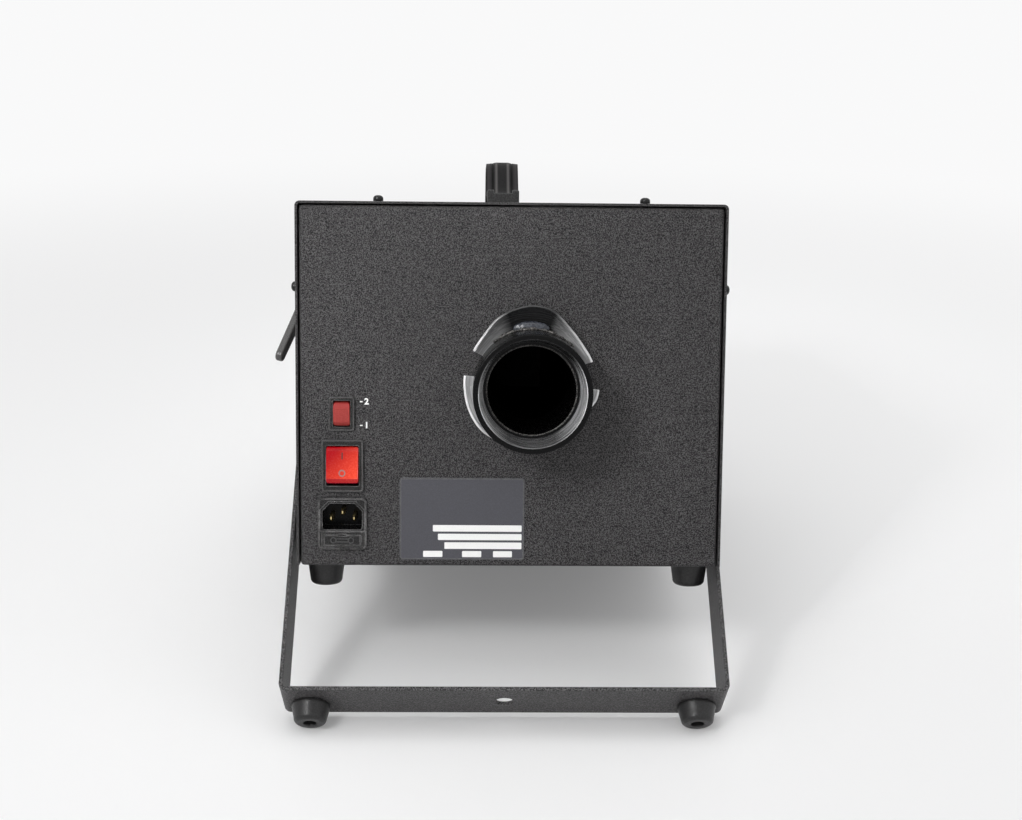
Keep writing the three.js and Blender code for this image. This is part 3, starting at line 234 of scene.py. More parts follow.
def makeGrainGroup():
    # speckle, slow mottling and fine bumps of a sprayed or moulded skin
    tree, inside = newGroup("skinGrain", {
        "Colour": (0.05, 0.05, 0.05, 1), "Speck Colour": (0.1, 0.1, 0.1, 1), "Speck Scale": 1500.0, "Speck Share": 0.5,
        "Mottle": 0.2, "Roughness": 0.6, "Roughness Spread": 0.1}, ("Colour", "Roughness", "Height"))
    place = objectPlace(tree)
    fine = noise(tree, inside["Speck Scale"], 1.0, place, (-600, 200))
    speck = ranged(tree, fine, 0.43, 0.60, at=(-400, 200))
    share = maths(tree, "MULTIPLY", speck, inside["Speck Share"], (-200, 200))
    colour = mixed(tree, share, inside["Colour"], inside["Speck Colour"], (0, 200))
    drift = ranged(tree, noise(tree, 14.0, 3.0, place, (-600, -100)), 0.3, 0.7, -1, 1, (-400, -100))
    level = maths(tree, "ADD", maths(tree, "MULTIPLY", drift, inside["Mottle"], (-200, -100)), 1.0, (0, -100))
    shade = addNode(tree, "ShaderNodeVectorMath", (250, 150), {0: colour, "Scale": level}, operation="SCALE")
    waver = ranged(tree, fine, 0.3, 0.7, -1, 1, (-400, -350))
    spread = maths(tree, "MULTIPLY", waver, inside["Roughness Spread"], (-200, -350))
    rough = maths(tree, "ADD", inside["Roughness"], spread, (0, -350))
    return closeGroup(tree, Colour=shade.outputs[0], Roughness=rough, Height=fine)


def makeEdgeWearAndHighlightGroup():
    # mask of paler edges, broken up by noise: worn edges on metal and paint, a painted highlight along the rims of the
    # plastics and the red keys
    tree, inside = newGroup("edgeWearAndHighlight", {"Radius": 0.001, "Amount": 1.0, "Break Scale": 160.0}, ("Mask",))
    soft = addNode(tree, "ShaderNodeBevel", (-650, 200), {"Radius": inside["Radius"]}, samples=4).outputs[0]
    flat = addNode(tree, "ShaderNodeNewGeometry", (-650, 0)).outputs["Normal"]
    edge = ranged(tree, vectorMaths(tree, "DOT_PRODUCT", soft, flat, (-450, 150))["Value"], 0.995, 0.86, at=(-250, 150))
    cloud = noise(tree, inside["Break Scale"], 3.0, objectPlace(tree), (-450, -200))
    gaps = ranged(tree, cloud, 0.35, 0.62, 0.25, 1, (-250, -200))
    broken = maths(tree, "MULTIPLY", edge, gaps, (0, 100))
    return closeGroup(tree, Mask=maths(tree, "MULTIPLY", broken, inside["Amount"], (200, 100)))


def upShare(tree):
    # how far up a face looks, from -1 to 1
    flat = addNode(tree, "ShaderNodeNewGeometry", (-650, 150)).outputs["Normal"]
    return parted(tree, flat, (-450, 150))["Z"]


def makeDustGroup():
    # fine dust that settles on what faces up
    tree, inside = newGroup("settledDust", {"Amount": 0.3, "Patch Scale": 30.0}, ("Mask",))
    upward = ranged(tree, upShare(tree), 0.45, 1.0, at=(-250, 150))
    cloud = noise(tree, inside["Patch Scale"], 6.0, objectPlace(tree), (-450, -150))
    patch = maths(tree, "MULTIPLY", upward, ranged(tree, cloud, 0.38, 0.72, at=(-250, -150)), (0, 0))
    return closeGroup(tree, Mask=maths(tree, "MULTIPLY", patch, inside["Amount"], (200, 0)))


def makeDownwardGroup():
    # mask of what faces down and forwards, used to paint shade and light on the red keys by which way a face looks
    tree, inside = newGroup("downward", {"Start": -0.1}, ("Mask",))
    low = maths(tree, "SUBTRACT", inside["Start"], 0.3, (-450, -100))
    return closeGroup(tree, Mask=ranged(tree, upShare(tree), inside["Start"], low, at=(-200, 100)))


def makeLatheGroup():
    # fine lines left by turning or brushing round the outlet's axis, and where a place lies round it
    tree, inside = newGroup("turnedLines", {"Scale": 900.0, "Centre": (0, 0, 0), "Turn": (0, 0, 0)},
                            ("Lines", "Radius", "Depth", "Side", "Low"))
    shift = vectorMaths(tree, "SUBTRACT", objectPlace(tree), inside["Centre"], (-700, 250))[0]
    turn = addNode(tree, "ShaderNodeVectorRotate", (-500, 250), {"Vector": shift, "Rotation": inside["Turn"]},
                   rotation_type="EULER_XYZ")
    x, y, z = parted(tree, turn.outputs[0], (-300, 250))
    around = maths(tree, "ARCTAN2", z, x, (-100, 350))
    xx, zz = (maths(tree, "MULTIPLY", part, part, (-100, at)) for part, at in ((x, 200), (z, 50)))
    radius = maths(tree, "SQRT", maths(tree, "ADD", xx, zz, (50, 120)), 0.0, (200, 120))
    unrolled = addNode(tree, "ShaderNodeCombineXYZ", (350, 250), {
        "X": maths(tree, "MULTIPLY", around, 0.002, (200, 350)), "Y": radius, "Z": y})
    lines = noise(tree, inside["Scale"], 3.0, unrolled.outputs[0], (550, 250))
    side = maths(tree, "DIVIDE", maths(tree, "ABSOLUTE", x, 0.0, (-100, -150)), radius, (200, -150))
    low = maths(tree, "DIVIDE", maths(tree, "MULTIPLY", z, -1.0, (-100, -300)), radius, (200, -300))
    return closeGroup(tree, Lines=lines, Radius=radius, Depth=y, Side=side, Low=low)


def makeBandGroup():
    # how far a place lies from a pair of lines that run along the machine
    tree, inside = newGroup("bandsAlong", {"Centre": 0.0, "Offset": 0.004, "Width": 0.001}, ("Mask",))
    away = parted(tree, objectPlace(tree), (-700, 250))["X"]
    for step, label in enumerate(("Centre", "Offset")):
        away = maths(tree, "SUBTRACT", away, inside[label], (300 * step - 500, 200))
        away = maths(tree, "ABSOLUTE", away, 0.0, (300 * step - 350, 200))
    return closeGroup(tree, Mask=ranged(tree, away, inside["Width"], 0.0, at=(250, 200)))


def makeSweepGroup():
    # soft change from one side of a piece to the other
    tree, inside = newGroup("sweepAcross", {"Centre": (0, 0, 0), "Direction": (1, 0, 0), "Reach": 0.01}, ("Mask",))
    shift = vectorMaths(tree, "SUBTRACT", objectPlace(tree), inside["Centre"], (-700, 250))[0]
    along = vectorMaths(tree, "DOT_PRODUCT", shift, inside["Direction"], (-500, 250))["Value"]
    low = maths(tree, "MULTIPLY", inside["Reach"], -1.0, (-500, 0))
    return closeGroup(tree, Mask=ranged(tree, along, low, inside["Reach"], at=(-200, 200)))


skinGrain = makeGrainGroup()
edgeWearAndHighlight = makeEdgeWearAndHighlightGroup()
settledDust = makeDustGroup()
turnedLines = makeLatheGroup()
downward = makeDownwardGroup()
bandsAlong = makeBandGroup()
sweepAcross = makeSweepGroup()

# what every finish has unless it says otherwise; a colour of one number is a grey
plainFinish = {"speckScale": 1200, "speckShare": 0.4, "mottle": 0.1, "rough": 0.42, "spread": 0.08, "bump": 0.00002,
               "gloss": 0.5, "metal": 0, "wearAndHighlight": 0.3, "wearAndHighlightRadius": 0.0004, "dust": 0}
printed = {"speckScale": 1500, "mottle": 0.05, "rough": 0.45, "spread": 0.05, "bump": 0.00001, "wearAndHighlight": 0.2,
           "wearAndHighlightRadius": 0.0002}
finishes = {
    "powderCoat": {
        "colour": (0.006, 0.0057, 0.006), "speck": (0.106, 0.102, 0.1045), "speckScale": 1650, "speckShare": 0.82,
        "mottle": 0.06, "rough": 0.5, "spread": 0.16, "bump": 0.0004, "gloss": 0.2, "edge": 0.07,
        "wearAndHighlightRadius": 0.0007, "dust": 0.04},
    "barCoat": {
        "colour": (0.008, 0.0076, 0.008), "speck": (0.160, 0.155, 0.158), "speckScale": 1150, "speckShare": 0.72,
        "mottle": 0.08, "rough": 0.48, "spread": 0.16, "bump": 0.0005, "gloss": 0.3, "edge": 0.16, "wearAndHighlight": 0.5,
        "wearAndHighlightRadius": 0.0009, "dust": 0.04},
    "blackSteel": {
        "colour": (0.004, 0.004, 0.0042), "speck": 0.012, "speckScale": 2500, "rough": 0.14, "spread": 0.05,
        "bump": 0.00003, "gloss": 0.3, "edge": 0.12, "dust": 0.02},
    "rubber": {
        "colour": (0.009, 0.0087, 0.009), "speck": (0.03, 0.029, 0.03), "speckScale": 1100, "speckShare": 0.35,
        "mottle": 0.14, "rough": 0.36, "bump": 0.00010, "gloss": 0.42, "edge": 0.05, "wearAndHighlight": 0.5,
        "wearAndHighlightRadius": 0.0010, "dust": 0.04},
    # its bands are painted light: paler stripes as painted highlights on the rib's shoulders, lighter flanges, and
    # painted shade in the fine grooves
    "strapRubber": {
        "colour": (0.010, 0.0097, 0.010), "speck": 0.022, "speckScale": 1100, "rough": 0.5, "spread": 0.06,
        "bump": 0.00006, "gloss": 0.05, "edge": 0.03, "wearAndHighlightRadius": 0.0008, "bandCentre": -4.5,
        "paintedBands": [(0.0039, 0.0013, (0.085, 0.082, 0.081)), (0.0090, 0.0020, (0.032, 0.030, 0.031)),
                  (0.0063, 0.0010, 0.0005)]},
    # its pale edges are a painted highlight along the hub's rim
    "glossPlastic": {
        "colour": (0.002, 0.002, 0.0022), "speck": 0.006, "speckScale": 1300, "speckShare": 0.35, "rough": 0.24,
        "spread": 0.05, "gloss": 0.1, "edge": (0.14, 0.14, 0.145), "wearAndHighlight": 0.8, "wearAndHighlightRadius": 0.0005},
    "mattePlastic": {
        "colour": (0.016, 0.0157, 0.016), "speck": 0.06, "speckShare": 0.45, "mottle": 0.08, "spread": 0.1,
        "bump": 0.00014, "gloss": 0.28, "edge": 0.16, "wearAndHighlight": 0.6, "wearAndHighlightRadius": 0.0005, "dust": 0.02},
    # its pale edges are a painted highlight along the rims of the inlet, the drawer and the switch bodies
    "satinPlastic": {
        "colour": (0.007, 0.0068, 0.007), "speck": 0.022, "speckScale": 1300, "speckShare": 0.45, "mottle": 0.08,
        "rough": 0.3, "bump": 0.00008, "gloss": 0.3, "edge": (0.28, 0.275, 0.275), "wearAndHighlight": 1.0,
        "wearAndHighlightRadius": 0.0007},
    # a paler plastic for raised rims and the fuse sign: painted highlight
    "paintedHighlightPlastic": {
        "colour": (0.045, 0.0445, 0.045), "speck": 0.09, "speckScale": 1300, "rough": 0.35, "bump": 0.00004,
        "gloss": 0.4, "edge": 0.2, "wearAndHighlight": 0.5},
    "leverPlastic": {
        "colour": (0.055, 0.053, 0.052), "speck": (0.10, 0.097, 0.095), "mottle": 0.08, "rough": 0.34,
        "bump": 0.00006, "edge": 0.3, "wearAndHighlight": 0.4, "wearAndHighlightRadius": 0.0006, "dust": 0.03},
    "zincSteel": {
        "colour": (0.50, 0.51, 0.52), "speck": (0.38, 0.38, 0.37), "speckScale": 700, "speckShare": 0.6,
        "mottle": 0.12, "rough": 0.34, "spread": 0.12, "bump": 0.00004, "metal": 0.95, "edge": 0.7,
        "wearAndHighlightRadius": 0.0005, "dust": 0.10},
    "dullZinc": {
        "colour": (0.045, 0.044, 0.042), "speck": (0.1, 0.098, 0.09), "speckScale": 900, "speckShare": 0.5,
        "mottle": 0.2, "rough": 0.5, "spread": 0.12, "bump": 0.00006, "metal": 0.8, "edge": 0.2},
    "brass": {
        "colour": (0.72, 0.58, 0.30), "speck": (0.42, 0.3, 0.12), "mottle": 0.12, "rough": 0.3, "metal": 1.0,
        "edge": (0.8, 0.7, 0.4), "wearAndHighlightRadius": 0.0003},
    "castAluminium": {
        "colour": (0.36, 0.36, 0.365), "speck": 0.25, "speckScale": 900, "speckShare": 0.5, "mottle": 0.12,
        "rough": 0.5, "spread": 0.12, "bump": 0.00020, "metal": 0.85, "edge": 0.55, "wearAndHighlight": 0.4,
        "wearAndHighlightRadius": 0.0008, "dust": 0.15},
    # its near black inside the air's way is painted shade
    "caseAluminium": {
        "colour": (0.30, 0.30, 0.305), "speck": 0.2, "speckScale": 900, "speckShare": 0.5, "mottle": 0.14,
        "rough": 0.5, "spread": 0.12, "bump": 0.00020, "metal": 0.8, "edge": 0.5, "wearAndHighlight": 0.4,
        "wearAndHighlightRadius": 0.0008, "dust": 0.15, "paintedDuctShade": 0.060},
    "armatureSteel": {
        "colour": (0.22, 0.17, 0.13), "speck": (0.42, 0.2, 0.1), "speckScale": 500, "speckShare": 0.5,
        "mottle": 0.2, "spread": 0.12, "bump": 0.00012, "metal": 0.8, "edge": (0.5, 0.45, 0.4),
        "wearAndHighlightRadius": 0.0006, "dust": 0.05},
    "plateSlate": {
        "colour": (0.048, 0.048, 0.058), "speck": (0.072, 0.072, 0.087), "speckScale": 1500, "mottle": 0.05,
        "spread": 0.06, "bump": 0.00003, "edge": (0.3, 0.31, 0.33), "wearAndHighlight": 0.7, "dust": 0.03},
    "plateField": {
        "colour": (0.86, 0.86, 0.85), "speck": (0.76, 0.76, 0.75), "speckScale": 1500, "speckShare": 0.3,
        "mottle": 0.03, "rough": 0.5, "spread": 0.05, "edge": 0.7, "wearAndHighlight": 0.2, "wearAndHighlightRadius": 0.0003},
    # deeper red towards the top left and on down-facing faces is painted shade; the pale pink edges are a painted
    # highlight
    "mainRed": {
        "colour": (0.74, 0.055, 0.026), "speck": (0.90, 0.10, 0.05), "speckScale": 1100, "speckShare": 0.35,
        "mottle": 0.06, "rough": 0.26, "spread": 0.04, "gloss": 0.14, "edge": (0.66, 0.16, 0.19), "wearAndHighlight": 0.9,
        "wearAndHighlightRadius": 0.0012, "coat": 0.05, "paintedSweepShade": (0.36, 0.002, 0.006), "paintedSweepCentre": (-101.75, -4, 62.2),
        "under": (0.36, 0.0025, 0.018)},
    # its up-facing facet is painted a more saturated red, painted light; its pale edges are a painted highlight
    "speedRed": {
        "colour": (0.29, 0.036, 0.032), "speck": (0.38, 0.06, 0.05), "speckScale": 1100, "speckShare": 0.5,
        "bump": 0.00004, "gloss": 0.2, "edge": (0.52, 0.09, 0.08), "wearAndHighlight": 0.7, "wearAndHighlightRadius": 0.0006,
        "above": (0.29, 0.026, 0.023)},
    "markWhite": {**printed, "colour": (0.88, 0.88, 0.87), "speck": 0.8, "rough": 0.55, "edge": 0.6},
    "markDark": {**printed, "colour": (0.03, 0.004, 0.004), "speck": (0.05, 0.006, 0.006), "edge": (0.12, 0.01, 0.01)},
    "markGrey": {**printed, "colour": (0.23, 0.16, 0.15), "speck": (0.3, 0.22, 0.21), "edge": (0.3, 0.2, 0.2)},
    "glueBead": {
        "colour": (0.012, 0.0115, 0.011), "speck": (0.16, 0.15, 0.14), "speckScale": 900, "speckShare": 0.6,
        "mottle": 0.5, "rough": 0.3, "spread": 0.15, "bump": 0.0006, "edge": (0.2, 0.2, 0.19)},
    "neckGrey": {
        "colour": (0.022, 0.025, 0.033), "speck": (0.06, 0.066, 0.08), "speckScale": 500, "speckShare": 0.6,
        "mottle": 0.35, "rough": 0.3, "spread": 0.12, "bump": 0.0003, "edge": (0.1, 0.11, 0.13),
        "wearAndHighlightRadius": 0.0005},
    "fuseGlass": {
        "colour": (0.62, 0.66, 0.66), "speck": (0.75, 0.78, 0.78), "speckScale": 900, "speckShare": 0.3,
        "mottle": 0.05, "rough": 0.08, "spread": 0.03, "bump": 0.00001, "edge": 0.8, "wearAndHighlight": 0.2,
        "wearAndHighlightRadius": 0.0003, "coat": 0.6},
}
latheFinish = {
    # the collar's pale base is a painted reflection, bright towards the ends, with painted shade towards the middle
    "collarPaintedSheen": {
        "dark": (0.56, 0.56, 0.565), "pale": (0.95, 0.95, 0.96), "rough": 0.26, "metal": 0.0, "scale": 1100,
        "shade": (0.018, 0.018, 0.0185), "shadeBy": "Side", "shadeFrom": 0.95, "shadeTo": 0.3},
    # socket wall: darkened at the top and at the bottom by painted shade, paler on the sides
    "socketWall": {
        "dark": (0.16, 0.16, 0.165), "pale": (0.85, 0.85, 0.86), "rough": 0.24, "metal": 0.15, "scale": 900,
        "shade": (0.004, 0.004, 0.0045), "shadeBy": "Low", "shadeFrom": -0.15, "shadeTo": -0.7, "middle": 0.78},
}
outletCentre = (11.85, 0, 111.7)


def placed(tree, group, at, **feeds):
    return addNode(tree, "ShaderNodeGroup", at, feeds, node_tree=group).outputs


def turnAbout(tree, scale, at):
    # the group that knows the outlet's axis, set to that axis
    return placed(tree, turnedLines, at, Scale=scale, Centre=boxPlace @ Vector(outletCentre) * mm,
                  Turn=(math.radians(boxStand["tilt"]), 0, 0))


def closeFinish(tree, height, depth, feeds):
    # the shader itself, with its fine bumps
    bump = addNode(tree, "ShaderNodeBump", (250, -250), {"Strength": 1, "Distance": depth, "Height": height})
    feeds["Normal"] = bump.outputs["Normal"]
    shader = addNode(tree, "ShaderNodeBsdfPrincipled", (600, 0), feeds)
    addNode(tree, "ShaderNodeOutputMaterial", (900, 0), {"Surface": shader.outputs[0]})


def makeFinish(name, values):
    values = {**plainFinish, **values}
    material = bpy.data.materials.new(name)
    tree = emptyTree(material)
    grain = placed(tree, skinGrain, (-500, 150), **{
        "Colour": values["colour"], "Speck Colour": values["speck"], "Speck Scale": values["speckScale"],
        "Speck Share": values["speckShare"], "Mottle": values["mottle"], "Roughness": values["rough"],
        "Roughness Spread": values["spread"]})
    wearAndHighlight = placed(tree, edgeWearAndHighlight, (-500, -150), Radius=values["wearAndHighlightRadius"], Amount=values["wearAndHighlight"])
    # paler edges: real wear on some finishes, a painted highlight along rounded rims on the plastics and keys
    colour = mixed(tree, wearAndHighlight["Mask"], grain["Colour"], values["edge"], (-200, 150))
    if values["dust"]:
        dust = placed(tree, settledDust, (-500, -350), Amount=values["dust"])
        colour = mixed(tree, dust["Mask"], colour, (0.3, 0.295, 0.285), (50, 150))
    extra, over = (-500, -550), (250, 150)
    if "paintedDuctShade" in values:
        # painted shade inside the air's way, round the outlet's axis: near black where the bore looks in
        around = turnAbout(tree, 300, extra)
        near = ranged(tree, around["Radius"], values["paintedDuctShade"], values["paintedDuctShade"] - 0.002, at=(-250, -550))
        within = ranged(tree, around["Depth"], 0.2212, 0.2206, at=(-250, -750))
        colour = mixed(tree, maths(tree, "MULTIPLY", near, within, (-50, -600)), colour, 0.004, over)
    # painted highlight and painted shade in stripes along the strap
    for offset, width, tone in values.get("paintedBands", ()):
        centre = (boxStand["corner"][0] + values["bandCentre"]) * mm
        band = placed(tree, bandsAlong, extra, Centre=centre, Offset=offset, Width=width)
        colour = mixed(tree, band["Mask"], colour, tone, over)
    # painted shade: the key darker towards its top left
    if "paintedSweepShade" in values:
        paintedSweepShade = placed(tree, sweepAcross, extra, Centre=boxPlace @ Vector(values["paintedSweepCentre"]) * mm,
                       Direction=(0.7, 0, -0.7), Reach=0.009)
        colour = mixed(tree, paintedSweepShade["Mask"], values["paintedSweepShade"], colour, over)
    # painted light: faces that look up painted a more saturated red
    if "above" in values:
        colour = mixed(tree, placed(tree, downward, extra, Start=0.52)["Mask"], values["above"], colour, over)
    # painted shade on faces that look down
    if "under" in values:
        colour = mixed(tree, placed(tree, downward, extra)["Mask"], colour, values["under"], over)
    feeds = {"Base Color": colour, "Roughness": grain["Roughness"], "Metallic": values["metal"],
             "Specular IOR Level": values["gloss"]}
    if "coat" in values:
        feeds.update({"Coat Weight": values["coat"], "Coat Roughness": 0.08})
    closeFinish(tree, grain["Height"], values["bump"], feeds)
    return material


def makeLatheFinish(name, values):
    material = bpy.data.materials.new(name)
    tree = emptyTree(material)
    lines = turnAbout(tree, values["scale"], (-500, 0))
    share = ranged(tree, lines["Lines"], 0.3, 0.7, at=(-250, 50))
    colour = mixed(tree, share, values["dark"], values["pale"], (0, 100))
    # painted shade: dark towards the top, bright towards the sides or the bottom
    paintedShade = ranged(tree, lines[values["shadeBy"]], values["shadeFrom"], values["shadeTo"], at=(0, 300))
    colour = mixed(tree, paintedShade, colour, values["shade"], (250, 150))
    # a second painted shade, darker away from the sides, so at the bottom too
    if "middle" in values:
        middle = ranged(tree, lines["Side"], 0.92, 0.45, 0, values["middle"], (200, 400))
        colour = mixed(tree, middle, colour, values["shade"], (400, 250))
    rough = ranged(tree, lines["Lines"], 0.3, 0.7, values["rough"] - 0.07, values["rough"] + 0.07, (-250, -200))
    closeFinish(tree, lines["Lines"], 0.00004, {"Base Color": colour, "Roughness": rough, "Metallic": values["metal"]})
    return material


paints = {name: makeFinish(name, values) for name, values in finishes.items()}
paints.update({name: makeLatheFinish(name, values) for name, values in latheFinish.items()})
print("finishes mixed:", len(paints))


# workshop helpers
def putDown():
    if bpy.context.object and bpy.context.object.mode != "OBJECT":
        bpy.ops.object.mode_set(mode="OBJECT")
    bpy.ops.object.select_all(action="DESELECT")


def take(*pieces):
    putDown()
    for piece in pieces:
        piece.hide_set(False)
        piece.select_set(True)
    bpy.context.view_layer.objects.active = pieces[0]


def inHand(name):
    piece = bpy.context.object
    piece.name = piece.data.name = name
    return piece


def fixPlace():
    bpy.ops.object.transform_apply(location=True, rotation=True, scale=True)


def moved(piece, matrix):
    take(piece)
    piece.matrix_world = matrix @ piece.matrix_world
    fixPlace()
    return piece


def startBlock(name, low, high):
    putDown()
    centre = [(a + b) / 2 for a, b in zip(low, high)]
    bpy.ops.mesh.primitive_cube_add(size=1, location=centre, scale=[b - a for a, b in zip(low, high)])
    fixPlace()
    return inHand(name)


def startPanel(name, x, z, width, height, front, back):
    # a block given by the middle, width and height of its face, and where it starts and ends
    return startBlock(name, (x - width / 2, front, z - height / 2), (x + width / 2, back, z + height / 2))


def pickAll(action="SELECT"):
    bpy.ops.mesh.select_all(action=action)


def shape(piece, kind="FACE"):
    take(piece)
    bpy.ops.object.mode_set(mode="EDIT")
    bpy.ops.mesh.select_mode(type=kind)
    pickAll("DESELECT")


def stopShaping():
    bpy.ops.object.mode_set(mode="OBJECT")


def pick(piece, kind, parts, test):
    bpy.ops.mesh.select_mode(type=kind)
    pickAll("DESELECT")
    mesh = bmesh.from_edit_mesh(piece.data)
    for part in getattr(mesh, parts):
        if test(part):
            part.select_set(True)
    bmesh.update_edit_mesh(piece.data)


def pickFaces(piece, test):
    pick(piece, "FACE", "faces", lambda face: test(face.calc_center_median(), face.normal))


def pickVerts(piece, test):
    pick(piece, "VERT", "verts", lambda vert: test(vert.co))


def pickEdges(piece, test):
    def passes(edge):
        first, second = (vert.co for vert in edge.verts)
        return test((first + second) / 2, (second - first).normalized())
    pick(piece, "EDGE", "edges", passes)


def runsBack(middle, along):
    return abs(along.y) > 0.9


def bevelEdges(piece, test, width, steps=3):
    # only the edges that pass the test; the piece is already being shaped
    pickEdges(piece, test)
    bpy.ops.mesh.bevel(offset=width, offset_type="OFFSET", segments=steps, affect="EDGES", clamp_overlap=True)


def bevelled(piece, test, width, steps=3):
    shape(piece)
    bevelEdges(piece, test, width, steps)
    stopShaping()
    return piece


def pickFront(piece):
    pickFaces(piece, lambda at, normal: normal.y < -0.9)


def insetFront(piece, *cuts):
    # the front face let in by each (thickness, depth) in turn
    pickFront(piece)
    for thickness, depth in cuts:
        bpy.ops.mesh.inset(thickness=thickness, depth=depth)


def push(x=0, y=0, z=0):
    bpy.ops.mesh.extrude_region_move(TRANSFORM_OT_translate={"value": (x, y, z)})


def pushCan(piece, margin, length):
    # the narrower body behind a flange
    pickFaces(piece, lambda at, normal: normal.y > 0.9)
    bpy.ops.mesh.inset(thickness=margin, depth=0)
    push(y=length)


def sized(scale, centre):
    bpy.ops.transform.resize(value=scale, center_override=centre)


def tidyMesh(piece):
    shape(piece, "VERT")
    pickAll()
    bpy.ops.mesh.remove_doubles(threshold=0.0005)
    bpy.ops.mesh.normals_make_consistent(inside=False)
    stopShaping()


def faceOutwards(piece):
    shape(piece)
    if bmesh.from_edit_mesh(piece.data).calc_volume(signed=True) < 0:
        pickAll()
        bpy.ops.mesh.flip_normals()
    stopShaping()


def modify(piece, kind, **values):
    take(piece)
    bpy.ops.object.modifier_add(type=kind)
    modifier = piece.modifiers[-1]
    for name, value in values.items():
        setattr(modifier, name, value)
    bpy.ops.object.modifier_apply(modifier=modifier.name)


def thicken(piece, sheet):
    modify(piece, "SOLIDIFY", thickness=sheet, offset=-1, use_even_offset=True)


def roundEdges(piece, width, steps=2, angle=35):
    modify(piece, "BEVEL", width=width, segments=steps, limit_method="ANGLE", angle_limit=math.radians(angle))
    return piece


def discard(*pieces):
    take(*pieces)
    bpy.ops.object.delete()


def carve(piece, *cutters, how="DIFFERENCE"):
    for cutter in cutters:
        modify(piece, "BOOLEAN", operation=how, object=cutter, solver="EXACT")
        discard(cutter)
    return piece


def joined(name, *pieces):
    take(*pieces)
    bpy.ops.object.join()
    return inHand(name)


axisTurns = {"x": (0, math.pi / 2, 0), "y": (math.pi / 2, 0, 0), "z": (0, 0, 0)}


def drill(places, steps=32):
    # one cutter out of several drills: (centre, axis, radius, length)
    drills = []
    for centre, axis, radius, length in places:
        putDown()
        bpy.ops.mesh.primitive_cylinder_add(
            vertices=steps, radius=radius, depth=length, location=centre, rotation=axisTurns[axis])
        drills.append(bpy.context.object)
    cutter = joined("cutter", *drills)
    fixPlace()
    return cutter


def turnedPiece(name, rings, steps=64, loop=False):
    # a circle extruded ring by ring up its axis: (radius, height), closed at both ends or looped
    putDown()
    radius, height = rings[0]
    bpy.ops.mesh.primitive_circle_add(vertices=steps, radius=radius, location=(0, 0, height), fill_type="NOTHING")
    fixPlace()
    piece = inHand(name)
    shape(piece, "EDGE")
    pickAll()
    if not loop:
        bpy.ops.mesh.edge_face_add()
    for newRadius, newHeight in rings[1:]:
        bpy.ops.mesh.select_mode(type="EDGE")
        bpy.ops.mesh.extrude_edges_move(TRANSFORM_OT_translate={"value": (0, 0, newHeight - height)})
        factor = newRadius / radius
        sized((factor, factor, 1), (0, 0, newHeight))
        radius, height = newRadius, newHeight
    if not loop:
        bpy.ops.mesh.edge_face_add()
    stopShaping()
    tidyMesh(piece)
    return piece


def copied(piece, name):
    take(piece)
    bpy.ops.object.duplicate()
    return inHand(name)


def paintFaces(piece, ground, *others):
    # one paint all over, and each other one on the faces that pass its test
    piece.data.materials.append(paints[ground])
    for index, (paint, test) in enumerate(others, 1):
        piece.data.materials.append(paints[paint])
        for face in piece.data.polygons:
            if test(face.center, face):
                face.material_index = index
    return piece


def settle(piece, body, finish, *replaced, place=boxPlace, slot=None, angle=32):
    # from its bench place in millimetres to its real one, with its place left in its mesh
    moved(piece, toMetres @ place)
    bpy.ops.object.shade_smooth_by_angle(angle=math.radians(angle))
    modify(piece, "WEIGHTED_NORMAL", keep_sharp=True)
    if finish:
        piece.data.materials.clear()
        piece.data.materials.append(paints[finish])
    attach(piece, body)
    if replaced:
        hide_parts(*replaced)
    return piece


# case: chassis and cover, both folded from sheet
case = {
    "width": 260, "height": 221.7, "depth": 345, "sheet": 1.5, "coverGap": 0.9,
    "chassisBend": 2.2, "coverBend": 3, "panelFlange": 26, "floorFlange": 14,
    "screwHole": 2.0, "screwX": 81, "screwZ": 170, "screwInset": 15,
    "footHole": 2.2, "footX": 114.5, "footInset": 27.5, "pivotHole": 4.4, "pivotAt": (172.5, 156.5),
    "outlet": (11.85, 111.7, 32.55), "intake": (0, 112, 55), "pegSpread": 57.5, "pegHole": 2.3,
    "postX": -4.5, "postHole": 4.3, "posts": (77, 268),
    "windows": [(-101.75, 62.2, 22.4, 29), (-102.2, 94, 13.4, 18.6), (-102, 26.6, 27.5, 29.8)],
}
half = case["width"] / 2
chassisHalf = half - case["sheet"] - case["coverGap"]
chassisTop = case["height"] - case["sheet"] - case["coverGap"]
endPlaces = (case["screwInset"], case["depth"] - case["screwInset"])
footPlaces = [(x, y) for y in (case["footInset"], case["depth"] - case["footInset"])
              for x in (-case["footX"], case["footX"])]
pegTurns = [math.radians(45 + 90 * quarter) for quarter in range(4)]
pegPlaces = [(case["pegSpread"] * math.cos(turn), case["pegSpread"] * math.sin(turn)) for turn in pegTurns]


def screwHoles(side, top, length):
    # the cover and the chassis are screwed together through these
    places = []
    for y in endPlaces:
        for hand in (-1, 1):
            places.append(((hand * case["screwX"], y, top), "z", case["screwHole"], length))
            places.append(((hand * side, y, case["screwZ"]), "x", case["screwHole"], length))
    return places


